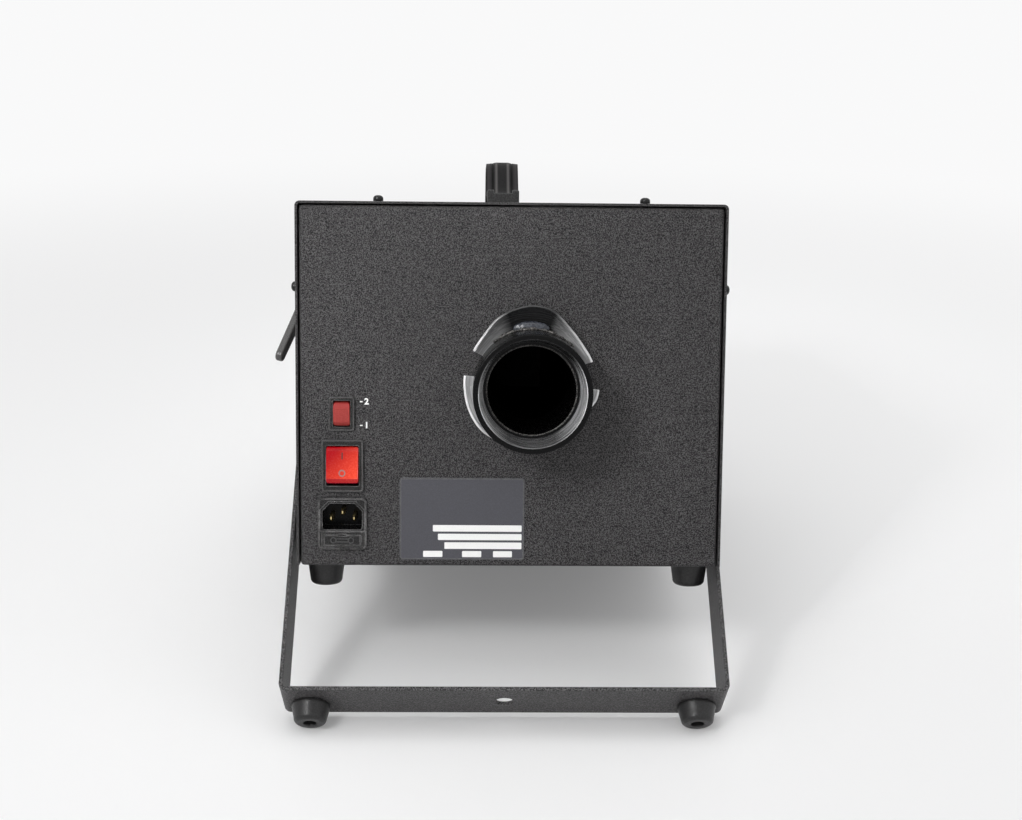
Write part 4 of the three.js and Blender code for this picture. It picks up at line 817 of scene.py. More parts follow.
def foldChassis():
    depth, flange, low = case["depth"], case["panelFlange"], case["floorFlange"]
    piece = startBlock("chassis", (-chassisHalf, 0, 0), (chassisHalf, depth, chassisTop))
    shape(piece)
    bevelEdges(piece, lambda middle, along: True, case["chassisBend"], 4)
    for place, normal in (((0, flange, 0), (0, 1, 0)), ((0, depth - flange, 0), (0, 1, 0)), ((0, 0, low), (0, 0, 1))):
        pickAll()
        bpy.ops.mesh.bisect(plane_co=place, plane_no=normal)
    pickFaces(piece, lambda at, normal: flange < at.y < depth - flange and at.z > low)
    bpy.ops.mesh.delete(type="FACE")
    stopShaping()
    tidyMesh(piece)
    thicken(piece, case["sheet"])
    x, z, radius = case["outlet"]
    places = [((x, 0, z), "y", radius, 12)]
    x, z, radius = case["intake"]
    places.append(((x, depth, z), "y", radius, 12))
    places += [((x + pegX, depth, z + pegZ), "y", case["pegHole"], 12) for pegX, pegZ in pegPlaces]
    carve(piece, drill(places, 72))
    feetHoles = [((x, y, 0), "z", case["footHole"], 12) for x, y in footPlaces]
    carve(piece, drill(feetHoles + screwHoles(chassisHalf, chassisTop, 12), 24))
    for window in case["windows"]:
        carve(piece, bevelled(startPanel("window", *window, -5, 6), runsBack, 0.8))
    return piece


def foldCover():
    piece = startBlock("cover", (-half, 0, 0), (half, case["depth"], case["height"]))
    shape(piece)
    bevelEdges(piece, lambda middle, along: abs(along.y) > 0.9 and middle.z > 100, case["coverBend"], 8)
    pickFaces(piece, lambda at, normal: abs(normal.y) > 0.9 or normal.z < -0.9)
    bpy.ops.mesh.delete(type="FACE")
    stopShaping()
    thicken(piece, case["sheet"])
    places = screwHoles(half, case["height"], 8)
    places += [((side * half, *case["pivotAt"]), "x", case["pivotHole"], 8) for side in (-1, 1)]
    places += [((case["postX"], y, case["height"]), "z", case["postHole"], 8) for y in case["posts"]]
    return roundEdges(carve(piece, drill(places, 32)), 0.28, 2, 50)


settle(foldChassis(), "box", "powderCoat", "base_chassis", slot="powder_coat")
settle(foldCover(), "box", "powderCoat", "top_cover", slot="powder_coat")
print("case folded")

# screws of the cover
panHead = {"radius": 3.1, "height": 3.6, "shank": 1.7, "reach": 9, "slotWidth": 0.85, "slotLength": 3.3,
           "slotDepth": 1.4, "seat": 0.3}


def crossCutter(width, length, low, high):
    one = startBlock("crossA", (-length / 2, -width / 2, low), (length / 2, width / 2, high))
    shape(one)
    pickFaces(one, lambda at, normal: normal.z < -0.9)
    sized((0.45, 0.6, 1), (0, 0, low))
    stopShaping()
    return one, moved(copied(one, "crossB"), turnedBy("Z", 90))


def turnScrew(name, values):
    radius, height = values["radius"], values["height"]
    rings = [(values["shank"], -values["reach"]), (values["shank"], 0), (radius * 0.96, 0), (radius, 0.25),
             (radius, height * 0.42)]
    for step in range(1, 8):
        turn = math.pi / 2 * step / 8
        rings.append((radius * (1 - 0.86 * (1 - math.cos(turn))), height * (0.42 + 0.58 * math.sin(turn))))
    low = height - values["slotDepth"]
    cross = crossCutter(values["slotWidth"], values["slotLength"], low, height + 1)
    return carve(turnedPiece(name, rings, 32), *cross)


masterScrew = turnScrew("coverScrew", panHead)
screwPlaces = [(y, side) for y in endPlaces for side in (-1, 1)]
for number, (y, side) in enumerate(screwPlaces, 1):
    spin = 17 * number  # no two slots stand alike
    onTop = shifted(side * case["screwX"], y, case["height"] + panHead["seat"]) @ turnedBy("Z", spin)
    atSide = (shifted(side * (half + panHead["seat"]), y, case["screwZ"]) @ turnedBy("Y", side * 90)
              @ turnedBy("Z", spin + 31))
    for where, place in (("Top", onTop), ("Side", atSide)):
        settle(copied(masterScrew, f"coverScrew{where}{number}"), "box", "blackSteel",
               f"cover_screw_{where.lower()}_{number}", place=boxPlace @ place, slot="black_screws")
discard(masterScrew)
print("cover screws in")

# rubber feet
feet = {
    "box": {"base": 11.85, "tip": 10, "height": 16.67, "band": 2.5, "round": 3, "recess": 3.9, "depth": 8,
            "bore": 2.2},
    "yoke": {"base": 11.85, "tip": 9.97, "height": 11.98, "band": 2.2, "round": 3, "recess": 3.9, "depth": 5,
             "bore": 2.2},
}
footScrew = {"radius": 3.4, "height": 2.3, "shank": 1.9, "reach": 15, "slotWidth": 0.9, "slotLength": 3.8,
             "slotDepth": 1.2}
footGap = 0.3
yokeFootPlace = {"spread": 117.5, "setback": 5, "reach": 304.8}


def turnFoot(values):
    low, base, band = -values["height"], values["base"], values["band"]
    recess, bore = values["recess"], values["bore"]
    rings = [(bore, 0), (base - 0.5, 0), (base - 0.15, -0.15), (base, -0.5), (base, -band + 0.4), (base - 0.25, -band)]
    for step in range(9):
        turn = math.pi / 2 * step / 8
        rings.append((values["tip"] - values["round"] * (1 - math.cos(turn)),
                      low + values["round"] * (1 - math.sin(turn))))
    top = low + values["depth"]
    rings += [(recess + 0.7, low), (recess + 0.2, low + 0.2), (recess, low + 0.8), (recess, top), (bore, top),
              (bore, 0)]
    return turnedPiece("foot", rings, 56, loop=True)


masterFeet = {kind: turnFoot(values) for kind, values in feet.items()}
masterFootScrew = turnScrew("footScrew", footScrew)
standAt = [(f"box_foot_{i}", "box", boxPlace @ shifted(x, y, -footGap)) for i, (x, y) in enumerate(footPlaces, 1)]
for i, side in enumerate((-1, 1), 1):
    across = yokeStand["shift"] + side * yokeFootPlace["spread"]
    standAt.append((f"yoke_foot_{i}", "yoke",
                    yokePlace @ shifted(across, yokeFootPlace["setback"], -yokeFootPlace["reach"])))
for name, body, place in standAt:
    label = name.replace("_", " ").title().replace(" ", "")
    screwSeat = feet[body]["depth"] - feet[body]["height"] - footGap
    settle(copied(masterFeet[body], label), body, "rubber", name, place=place, slot="rubber", angle=40)
    settle(copied(masterFootScrew, label + "Screw"), body, "dullZinc", name + "_screw",
           place=place @ shifted(0, 0, screwSeat) @ turnedBy("X", 180) @ turnedBy("Z", 40), slot="zinc_steel")
discard(*masterFeet.values(), masterFootScrew)
print("feet on")

# strap handle: its top is a low rounded rib between two fine grooves, given as (from the middle, rise)
handle = {
    "x": -4.5, "width": 21.3, "tongue": 16, "flange": 3, "bow": 22.4, "from": 68.3, "out": 90.3, "taper": 1.2,
    "ramp": 41.5, "depth": 345, "floor": 224.2, "seat": 222.0, "steps": 26,
    "crown": [(9.4, 0.06), (7.5, 0.3), (7.0, 0.32), (6.6, 0.16), (6.2, 0.36), (5.5, 0.62), (4.6, 0.85), (3.8, 0.97),
              (2.8, 0.95), (1.4, 0.93), (0, 0.95)],
}
endBlock = {"width": 20.4, "length": 26, "height": 8.6, "wall": 4, "notch": 5.9, "notchFloor": 6.5, "channel": 6.8,
            "pocket": 8.3, "pocketLow": 1.9, "pocketHigh": 5.5, "post": 4, "postLength": 6}


def layStrap():
    half = handle["width"] / 2
    piece = startBlock("strap", (-half, handle["from"], 0), (half, handle["out"], handle["flange"]))
    shape(piece)
    for x, rise in handle["crown"]:
        for side in ((1,) if x == 0 else (-1, 1)):
            pickAll()
            bpy.ops.mesh.bisect(plane_co=(side * x, 0, 0), plane_no=(1, 0, 0))
    for x, rise in handle["crown"]:
        pickVerts(piece, lambda at: at.z > handle["flange"] - 0.01 and abs(abs(at.x) - x) < 0.01)
        bpy.ops.transform.translate(value=(0, 0, rise))
    # pushed on step by step: up the front ramp, along the grip, down the rear ramp
    steps, ramp, out = handle["steps"], handle["ramp"], handle["out"]
    lifts = [handle["bow"] * (1 - math.cos(math.pi * i / steps)) / 2 for i in range(steps + 1)]
    pushes = [(handle["taper"], 0)] + [(ramp / steps, b - a) for a, b in zip(lifts, lifts[1:])]
    grip = handle["depth"] - 2 * (out + handle["taper"] + ramp)
    pushes += [(grip / 2, 0), (grip / 2, 0)] + [(y, -z) for y, z in reversed(pushes)]
    pushes.append((out - handle["from"], 0))
    for y, z in pushes:
        far = max(vert.co.y for vert in bmesh.from_edit_mesh(piece.data).verts) - 0.01
        pickFaces(piece, lambda at, normal: at.y > far and normal.y > 0.5)
        push(y=y, z=z)
    middle = handle["depth"] / 2
    pickVerts(piece, lambda at: abs(at.x) > half - 0.01 and abs(at.y - middle) > middle - out - 0.01)
    sized((handle["tongue"] / handle["width"], 1, 1), (0, 0, 0))
    stopShaping()
    tidyMesh(piece)
    faceOutwards(piece)
    roundEdges(piece, 0.6, 3, 50)
    faceOutwards(piece)
    return piece


def shapeEndBlock(name):
    halfWidth, halfLength = endBlock["width"] / 2, endBlock["length"] / 2
    inside, far, high = endBlock["wall"] - halfLength, halfLength + 5, endBlock["height"] + 5
    piece = startBlock(name, (-halfWidth, -halfLength, 0), (halfWidth, halfLength, endBlock["height"]))
    bevelled(piece, lambda middle, along: abs(along.z) > 0.9 or (middle.z > 1 and (
        abs(along.y) > 0.9 or (middle.y < 0 and abs(along.x) > 0.9))), 1.1, 4)
    low = endBlock["pocketLow"]
    for wide, near, floor, back, top in ((endBlock["channel"], inside, low, far, high),
                                         (endBlock["pocket"], inside, low, far, endBlock["pocketHigh"]),
                                         (endBlock["notch"], -halfLength - 5, endBlock["notchFloor"], 0, high)):
        carve(piece, startBlock("cut", (-wide, near, floor), (wide, back, top)))
    roundEdges(piece, 0.35, 2, 50)
    post, length = endBlock["post"], endBlock["postLength"]
    peg = turnedPiece("post", [(post - 0.5, -length), (post, 0.5 - length), (post, 1.2)], 32)
    return carve(piece, peg, how="UNION")


settle(layStrap(), "box", "strapRubber", "handle_strap", place=boxPlace @ shifted(handle["x"], 0, handle["floor"]),
       slot="rubber", angle=32)
for end, y, turn in zip(("Front", "Rear"), case["posts"], (0, 180)):
    place = boxPlace @ shifted(handle["x"], y, handle["seat"]) @ turnedBy("Z", turn)
    settle(shapeEndBlock("handleEnd" + end), "box", "mattePlastic", "handle_end_" + end.lower(), place=place,
           slot="matte_plastic", angle=38)
print("handle on")

# outlet: hub and pipe in one
outlet = {"hub": 34.75, "front": -49.4, "back": -9, "mouth": 31.1, "end": 28.75, "ledge": -26.9, "pipe": 30.15,
          "bore": 26.25, "tail": 42}
outletPlace = boxPlace @ shifted(*outletCentre)
alongY = turnedBy("X", -90)


def turnOutlet():
    hub, front, back, mouth, end, ledge, pipe, bore, tail = outlet.values()
    rings = [(end, ledge), (end + 0.1, ledge - 0.9), (mouth - 0.02, front + 1.0), (mouth + 0.1, front + 0.4),
             (mouth + 0.5, front), (hub - 1.0, front), (hub - 0.45, front + 0.2), (hub - 0.12, front + 0.6),
             (hub, front + 1.2), (hub, back - 1.5), (hub - 0.4, back - 0.5), (hub - 1.3, back), (pipe + 0.6, back),
             (pipe, back + 0.6), (pipe, tail - 0.8), (pipe - 0.8, tail), (bore + 0.4, tail), (bore, tail - 0.4),
             (bore, ledge + 0.3), (bore + 0.12, ledge - 0.3), (bore + 0.45, ledge - 0.45),
             (bore + 0.75, ledge - 0.3), (bore + 0.9, ledge), (end, ledge)]

    # the socket's inner wall takes the finish with painted shade and painted reflection
    def inSocket(at, face):
        return end - 0.1 < math.hypot(at.x, at.y) < mouth + 0.3 and front + 0.2 < at.z < ledge - 0.1

    def onBead(at, face):
        return bore < math.hypot(at.x, at.y) < bore + 0.85 and abs(at.z - ledge) < 0.6

    piece = turnedPiece("outletPipe", rings, 112, loop=True)
    return paintFaces(piece, "glossPlastic", ("socketWall", inSocket), ("glueBead", onBead))


settle(turnOutlet(), "box", None, "outlet_pipe", place=outletPlace @ alongY, slot="gloss_plastic")

# bead of glue along the hub's back edge, and the lump of it on the neck
glue = {"radius": 35.2, "y": -11.2, "thick": 1.05, "from": 44, "to": 130, "steps": 64, "step": 0.82, "waver": 0.7}
neck = {"turn": 90, "radius": 35.2, "y": -7.5, "size": (11.5, 2.6, 4.6)}


def layGlue():
    # turned as a straight rod of uneven thickness, then bent round the hub
    thick, last = glue["thick"], 1.9 + (glue["steps"] - 1) * glue["step"]
    rings = [(thick * 0.5, 0), (thick, 1.2)]
    for i in range(1, glue["steps"]):
        waver = 1 + 0.3 * math.sin(i * 0.83) + 0.22 * math.sin(i * 0.37 + 1) + 0.1 * math.sin(i * 2.3)
        rings.append((thick * waver, 1.2 + i * glue["step"]))
    piece = turnedPiece("glueBead", rings + [(thick * 0.4, last)], 10)
    for vert in piece.data.vertices:
        share = vert.co.z / last
        turn = math.radians(glue["from"] + (glue["to"] - glue["from"]) * share)
        waver = glue["waver"] * math.sin(share * 23) * math.sin(share * 7 + 1)
        radius = glue["radius"] + vert.co.x * 0.8
        vert.co = (radius * math.cos(turn), glue["y"] + vert.co.y * 1.5 + waver, radius * math.sin(turn))
    tidyMesh(piece)
    return piece


def layNeck():
    putDown()
    turn = math.radians(neck["turn"])
    bpy.ops.mesh.primitive_ico_sphere_add(subdivisions=4, radius=1, scale=neck["size"])
    piece = inHand("neckLump")
    fixPlace()
    shape(piece)
    pickAll()
    bpy.ops.transform.vertex_random(offset=0.3, uniform=0.2, normal=0.8, seed=4)
    bpy.ops.mesh.vertices_smooth(factor=0.5, repeat=8)
    stopShaping()
    return moved(piece, shifted(neck["radius"] * math.cos(turn), neck["y"], neck["radius"] * math.sin(turn)))


settle(layGlue(), "box", "glueBead", place=outletPlace, slot="gloss_plastic", angle=60)
settle(layNeck(), "box", "neckGrey", place=outletPlace, slot="gloss_plastic", angle=60)

# collar: two leaves that flare forwards, each with an outline of bulges along its lip
flare = [(0, 0), (0.1, 0.03), (0.22, 0.085), (0.34, 0.175), (0.46, 0.275), (0.58, 0.385), (0.7, 0.515), (0.8, 0.65),
         (0.9, 0.8), (0.96, 0.91), (1, 1)]
leaves = {
    "collarUpper": {
        "node": "collar_upper", "from": 22.8, "to": 148, "lip": 40.5, "bulge": 9.2, "reach": 9.5,
        "outline": [(0, 0), (0.113, 0), (0.185, 0.087), (0.249, 0.23), (0.305, 0.4), (0.373, 0.717), (0.425, 0.924),
                    (0.473, 0.978), (0.529, 1), (0.577, 0.957), (0.633, 0.87), (0.68, 0.804), (0.76, 0.62),
                    (0.81, 0.44), (0.864, 0.272), (0.92, 0.17), (1, 0.09)]},
    "collarLower": {
        "node": "collar_lower", "from": 170.6, "to": 358, "lip": 38.2, "bulge": 3.6, "reach": 6.5,
        "outline": [(0, 0.78), (0.044, 0.69), (0.088, 0.6), (0.248, 0.6), (0.301, 0.5), (0.36, 0.11), (0.41, 0.03),
                    (0.46, 0), (0.865, 0), (0.91, 0.12), (0.941, 0.75), (0.97, 0.9), (1, 1)]},
}
leafSheet = {"wall": 1.8, "throat": 30.45, "around": 96, "tuck": 3.4}


def bulgeAt(outline, share):
    for (low, first), (high, second) in zip(outline, outline[1:]):
        if share <= high:
            return first + (second - first) * (share - low) / (high - low)
    return outline[-1][1]


def flareLeaf(name, values):
    # a flat sheet of many squares, laid round the pipe and then given its thickness
    wall, throat, around, tuck = leafSheet.values()
    across = len(flare)
    putDown()
    bpy.ops.mesh.primitive_grid_add(x_subdivisions=around, y_subdivisions=across, size=2)
    piece = inHand(name)
    bulges = [bulgeAt(values["outline"], column / around) for column in range(around + 1)]
    for repeat in range(2):
        smooth = [(a + b + c) / 3 for a, b, c in zip(bulges, bulges[1:], bulges[2:])]
        bulges = [bulges[0], *smooth, bulges[-1]]
    for vert in piece.data.vertices:
        column = round((vert.co.x + 1) / 2 * around)
        row = round((vert.co.y + 1) / 2 * across)
        turn = math.radians(values["from"] + (values["to"] - values["from"]) * column / around)
        radius, y = throat + wall, tuck
        if row:
            out, forward = flare[row - 1]
            spread = values["lip"] + values["bulge"] * bulges[column] - throat - wall
            radius, y = radius + spread * out, -0.3 - values["reach"] * forward
        vert.co = (radius * math.cos(turn), y, radius * math.sin(turn))
    tidyMesh(piece)
    if sum(face.normal.dot(face.center.normalized()) for face in piece.data.polygons) < 0:
        shape(piece)
        pickAll()
        bpy.ops.mesh.flip_normals()
        stopShaping()
    thicken(piece, wall - 0.1)
    return roundEdges(piece, 0.6, 3, 50)


for name, values in leaves.items():
    settle(flareLeaf(name, values), "box", "collarPaintedSheen", values["node"], place=outletPlace, slot="matte_plastic",
           angle=45)
print("outlet and collar turned")

# switches: a body behind the panel and a key that rocks in it
switches = {
    "main": {"at": (-101.75, 0, 62.2), "width": 25, "height": 31.6, "rise": 2, "corner": 1.6, "canMargin": 1.6,
             "can": 22, "keyWidth": 19.4, "keyRadius": 12.1, "pivot": 2.6, "face": 7, "faceShare": 0.7,
             "edge": 24, "back": 10, "tilt": -8, "soft": 1.3, "rim": 0.7, "paint": "mainRed"},
    "speed": {"at": (-102.2, 0, 94), "width": 15.2, "height": 20.4, "rise": 1.8, "corner": 1.5, "canMargin": 1.2,
              "can": 18, "keyWidth": 10, "keyRadius": 7.7, "pivot": 1.8, "face": 4.8, "faceShare": 0.55,
              "edge": 24, "back": 10, "tilt": 9, "soft": 1.5, "rim": 0.4, "paint": "speedRed"},
}
seatGap = 0.3  # between a flange and the panel it sits on


def mouldSwitchBody(name, values):
    w, h, can = values["width"] / 2, values["height"] / 2, values["can"]
    front = -values["rise"] - seatGap
    piece = startBlock(name, (-w, front, -h), (w, -seatGap, h))
    shape(piece)
    bevelEdges(piece, runsBack, values["corner"], 5)
    # a thin raised rim, then a step down into the dark surround of the key
    insetFront(piece, (0.4, 0), (0.3, -0.4))
    pushCan(piece, values["canMargin"], can + seatGap)
    stopShaping()
    tidyMesh(piece)
    keyHalf, keyHigh = values["keyWidth"] / 2 + 0.3, values["keyRadius"] + 0.3
    pocket = startBlock("pocket", (-keyHalf, front - 3, -keyHigh),
                        (keyHalf, values["pivot"] + values["keyRadius"] / 2, keyHigh))
    carve(piece, bevelled(pocket, runsBack, 0.5, 2))
    roundEdges(piece, 0.18, 2, 50)

    def onRim(at, face):
        return at.y < -0.4 and (abs(at.x) > w - values["rim"] or abs(at.z) > h - values["rim"])

    # the rim is painted paler than the surround of the key: a painted highlight
    paintFaces(piece, "satinPlastic", ("paintedHighlightPlastic", onRim))
    blades = [roundEdges(startPanel("blade", 0, side * 3.5, 4.8, 0.8, can - 1, can + 8), 0.25) for side in (-1, 1)]
    return carve(piece, *blades, how="UNION")


def mouldKey(name, values):
    # two flat facets that meet at a crease, above a narrower back
    r, w = values["keyRadius"], values["keyWidth"] / 2
    edge, back = math.radians(values["edge"]), math.radians(values["back"])
    middle, end = r * values["faceShare"], r * math.cos(edge)
    piece = startBlock(name, (-w, -values["face"], -middle), (w, r * math.sin(back), middle))
    shape(piece)
    for side in (-1, 1):
        pickFaces(piece, lambda at, normal: normal.z * side > 0.9)
        push(z=side * (end - middle))
    mesh = bmesh.from_edit_mesh(piece.data)
    for vert in mesh.verts:
        if abs(vert.co.z) > middle + 0.1:
            if vert.co.y < 0:
                vert.co.y = -r * math.sin(edge)
            else:
                vert.co.z = math.copysign(r * math.cos(back), vert.co.z)
    bmesh.update_edit_mesh(piece.data)
    bevelEdges(piece, lambda at, along: abs(along.y) > 0.7 and abs(at.x) > w - 0.01 and abs(at.z) > end - 0.5,
               values["soft"], 4)
    stopShaping()
    tidyMesh(piece)
    return roundEdges(piece, 0.55, 3, 12)


def keyPlace(values):
    x, y, z = values["at"]
    return boxPlace @ shifted(x, values["pivot"], z) @ turnedBy("X", values["tilt"])


for label, values in switches.items():
    settle(mouldSwitchBody(label + "SwitchBody", values), "box", None, label + "_switch_body",
           place=boxPlace @ shifted(*values["at"]), slot="gloss_plastic")
    settle(mouldKey(label + "Rocker", values), label + "_rocker", values["paint"], label + "_switch_rocker",
           place=keyPlace(values), slot="red_" + label, angle=25)


def ringMark(name, radius, width, rise):
    low = radius - width
    rings = [(low, 0), (low + 0.05, rise), (radius - 0.05, rise), (radius, 0), (low, 0)]
    return turnedPiece(name, rings, 40, loop=True)


# bar and ring on the main key: on above the middle, off below it
marks = {"barWidth": 0.8, "barHeight": 4.2, "ringRadius": 2.1, "ringWidth": 0.75, "barZ": 5.4, "ringZ": -5.1,
         "rise": 0.05, "sunk": 0.02}
mainFace = -switches["main"]["face"]
mainKey = keyPlace(switches["main"])
bar = startPanel("onBar", 0, marks["barZ"], marks["barWidth"], marks["barHeight"], mainFace - marks["rise"],
                 mainFace + marks["sunk"])
settle(roundEdges(bar, 0.2), "main_rocker", "markDark", place=mainKey, slot="red_main")
ring = ringMark("offRing", marks["ringRadius"], marks["ringWidth"], marks["rise"] + marks["sunk"])
settle(ring, "main_rocker", "markGrey", slot="red_main",
       place=mainKey @ shifted(0, mainFace + marks["sunk"], marks["ringZ"]) @ turnedBy("X", 90))

# dash and number beside each end of the small switch
speedMarks = {"x": -90.4, "numberX": -87.2, "places": {"2": 101.3, "1": 86.8}, "height": 3.6, "dash": (1.6, 0.75),
              "weight": 0.2, "capShare": 0.7}


def printedFigure(name, letters, values):
    putDown()
    bpy.ops.object.text_add()
    text = bpy.context.object.data
    text.body = letters
    text.size = values["height"] / values["capShare"]
    text.extrude = 0.03
    text.offset = values["weight"]
    text.align_x, text.align_y = "CENTER", "CENTER"
    bpy.ops.object.convert(target="MESH")
    piece = inHand(name)
    tidyMesh(piece)
    return piece


for letters, z in speedMarks["places"].items():
    dash = startPanel("dash" + letters, speedMarks["x"], z, *speedMarks["dash"], -0.06, 0.02)
    settle(roundEdges(dash, 0.02, 1), "box", "markWhite", slot="plate")
    settle(printedFigure("number" + letters, letters, speedMarks), "box", "markWhite",
           place=boxPlace @ shifted(speedMarks["numberX"], -0.03, z) @ turnedBy("X", 90), slot="plate")
print("switches in")

# power inlet and fuse drawer
inlet = {
    "at": (-102, 0, 26.6), "width": 29.5, "height": 31.8, "front": -2.5, "corner": 3, "can": 26, "canMargin": 1.3,
    "socketWidth": 24.2, "socketHeight": 16, "socketLift": 4.35, "cut": 4.6, "socketFloor": 13.5,
    "drawerWidth": 24.5, "drawerHeight": 8.6, "drawerLift": -10.1, "drawerDepth": 19, "drawerGap": 0.3,
    "pinWidth": 2, "pinHeight": 4, "pinTip": 2.1, "pinEnd": 35, "pinGap": 0.3, "fuseDepth": 8.5,
    "pins": {"left": (-7, 2.85), "earth": (0, 6.55), "right": (7, 2.85)},
}
inletPlace = boxPlace @ shifted(*inlet["at"])
drawerFace = inlet["front"] - 1


def mouldInlet():
    w, h, front, cut = inlet["width"] / 2, inlet["height"] / 2, inlet["front"], inlet["cut"]
    piece = startBlock("inletBody", (-w, front, -h), (w, -seatGap, h))
    shape(piece)
    bevelEdges(piece, runsBack, inlet["corner"], 8)
    insetFront(piece, (0.55, 0), (0.2, -0.35), (0.2, 0.35))
    pushCan(piece, inlet["canMargin"], inlet["can"] + seatGap)
    stopShaping()
    tidyMesh(piece)
    # shallow groove all round the face, which leaves a raised frame
    low, high = inlet["socketLift"] - inlet["socketHeight"] / 2, inlet["socketLift"] + inlet["socketHeight"] / 2
    half = inlet["socketWidth"] / 2
    groove = startBlock("groove", (-half - 1.4, front - 2, low - 1.0), (half + 1.4, front + 0.45, high + 1.3))
    carve(piece, bevelled(groove, lambda at, along: runsBack(at, along) and at.z > 0, cut + 0.4, 1))
    socket = startBlock("socket", (-half, front - 2, low), (half, inlet["socketFloor"], high))
    bevelled(socket, lambda at, along: runsBack(at, along) and at.z > 5, cut, 1)
    bevelled(socket, lambda at, along: runsBack(at, along) and at.z < 0, 1.6, 4)
    gap = 2 * inlet["drawerGap"]
    bay = startPanel("bay", 0, inlet["drawerLift"], inlet["drawerWidth"] + gap, inlet["drawerHeight"] + gap, front - 2,
                     16.8)
    carve(piece, socket, bay)
    gap = 2 * inlet["pinGap"]
    for x, z in inlet["pins"].values():
        carve(piece, startPanel("slot", x, z, inlet["pinWidth"] + gap, inlet["pinHeight"] + gap, 10, 30))
    for x in (-5.2, 5.2):
        # two small key slots above the pins
        carve(piece, startPanel("slot", x, high - 2.8, 2.8, 1.2, 11, 15))
    roundEdges(piece, 0.3, 3, 45)

    # the inside of the socket is painted blacker: painted shade in the recess
    def inSocket(at, face):
        return (abs(at.x) < half + 0.02 and low - 0.02 < at.z < high + 0.02
                and front + 0.9 < at.y < inlet["can"] - 1)

    return paintFaces(piece, "satinPlastic", ("glossPlastic", inSocket))


def formPin(name, x, z):
    piece = startPanel(name, x, z, inlet["pinWidth"], inlet["pinHeight"], inlet["pinTip"], inlet["pinEnd"])
    shape(piece)
    insetFront(piece, (0.25, 0))
    push(y=-0.001)
    pickFront(piece)
    push(y=-1.6)
    sized((0.35, 1, 0.4), (x, 0.5, z))
    stopShaping()
    return roundEdges(piece, 0.5, 3, 30)


def mouldDrawer():
    w, h, middle = inlet["drawerWidth"] / 2, inlet["drawerHeight"] / 2, inlet["drawerLift"]
    piece = startPanel("fuseDrawer", 0, middle, inlet["drawerWidth"], inlet["drawerHeight"], drawerFace,
                       inlet["front"] + inlet["drawerDepth"])
    shape(piece)
    # engraved outline on the face, then the rounded corners
    insetFront(piece, (0.85, 0), (0.25, -0.45), (0.2, 0), (0.25, 0.45))
    bevelEdges(piece, lambda at, along: runsBack(at, along) and abs(at.x) > w - 0.01 and abs(at.z - middle) > h - 0.01,
               0.6)
    stopShaping()
    tidyMesh(piece)
    carve(piece, startBlock("trough", (-10.3, 5.6, middle - 2.9), (10.3, 11.4, middle + h + 2)))
    lip = startBlock("lip", (-3.4, drawerFace - 1.2, middle + h - 2.2), (3.4, drawerFace + 1.2, middle + h))
    shape(lip)
    pickFront(lip)
    sized((0.86, 1, 0.7), (0, drawerFace - 1.2, middle + h - 0.3))
    stopShaping()
    return roundEdges(carve(piece, lip, how="UNION"), 0.14, 2, 45)


settle(mouldInlet(), "box", None, "inlet_body", place=inletPlace, slot="gloss_plastic")
for side, (x, z) in inlet["pins"].items():
    settle(formPin("inletPin" + side.title(), x, z), "box", "brass", "inlet_pin_" + side, place=inletPlace,
           slot="brass")
settle(mouldDrawer(), "fuse_tray", "satinPlastic", "fuse_drawer", place=inletPlace, slot="gloss_plastic")

# raised fuse sign on the drawer's face: two eyes joined by a pair of bars, painted paler as a painted highlight
sign = {"eye": 1.9, "line": 0.55, "spread": 5.3, "rise": 0.3, "gap": 0.95, "sunk": 0.03}
signBack = drawerFace + sign["sunk"]
for name, side in (("fuseEyeLeft", -1), ("fuseEyeRight", 1)):
    place = inletPlace @ shifted(side * sign["spread"], signBack, inlet["drawerLift"]) @ turnedBy("X", 90)
    settle(ringMark(name, sign["eye"], sign["line"], sign["rise"] + sign["sunk"]), "fuse_tray", "paintedHighlightPlastic", place=place,
           slot="gloss_plastic")
for name, side in (("fuseBarBottom", -1), ("fuseBarTop", 1)):
    signBar = startPanel(name, 0, inlet["drawerLift"] + side * sign["gap"], 2 * (sign["spread"] - sign["eye"]),
                         sign["line"], drawerFace - sign["rise"], signBack)
    settle(roundEdges(signBar, 0.04, 1), "fuse_tray", "paintedHighlightPlastic", place=inletPlace, slot="gloss_plastic")


def turnFuse():
    rings = [(2.2, -10), (2.6, -9.7), (2.6, -5.4), (2.45, -5.2), (2.45, 5.2), (2.6, 5.4), (2.6, 9.7), (2.2, 10)]
    piece = turnedPiece("fuseLink", rings, 28)
    return paintFaces(piece, "zincSteel", ("fuseGlass", lambda at, face: abs(at.z) < 5.3))


settle(turnFuse(), "fuse_tray", None, "fuse_link", slot="glass",
       place=inletPlace @ shifted(0, inlet["fuseDepth"], inlet["drawerLift"]) @ turnedBy("Y", 90))
print("inlet in")

# rating plate, its fields left blank: (left, low, right, high)
plate = {
    "left": -67.1, "right": 9.1, "low": 4.2, "high": 55, "front": -0.8, "back": -0.3, "corner": 2,
    "fields": [(-46.8, 21.8, 7.5, 25.8), (-43.7, 16.5, 7.5, 20.4), (-39.7, 11.0, 7.5, 15.1),
               (-52.7, 5.9, -40.9, 9.7), (-28.9, 5.9, -17.1, 9.7), (-9.9, 5.9, 1.7, 9.7)],
}


def stampPlate():
    piece = startBlock("ratingPlate", (plate["left"], plate["front"] + 0.12, plate["low"]),
                       (plate["right"], plate["back"], plate["high"]))
    shape(piece)
    bevelEdges(piece, runsBack, plate["corner"], 8)
    insetFront(piece, (0.25, 0.12), (0.5, 0), (0.15, -0.1))
    stopShaping()

    def onRim(at, face):
        return len(face.vertices) == 4 and face.normal.y < -0.99 and at.y < plate["front"] + 0.06

    return paintFaces(piece, "plateSlate", ("leverPlastic", onRim))


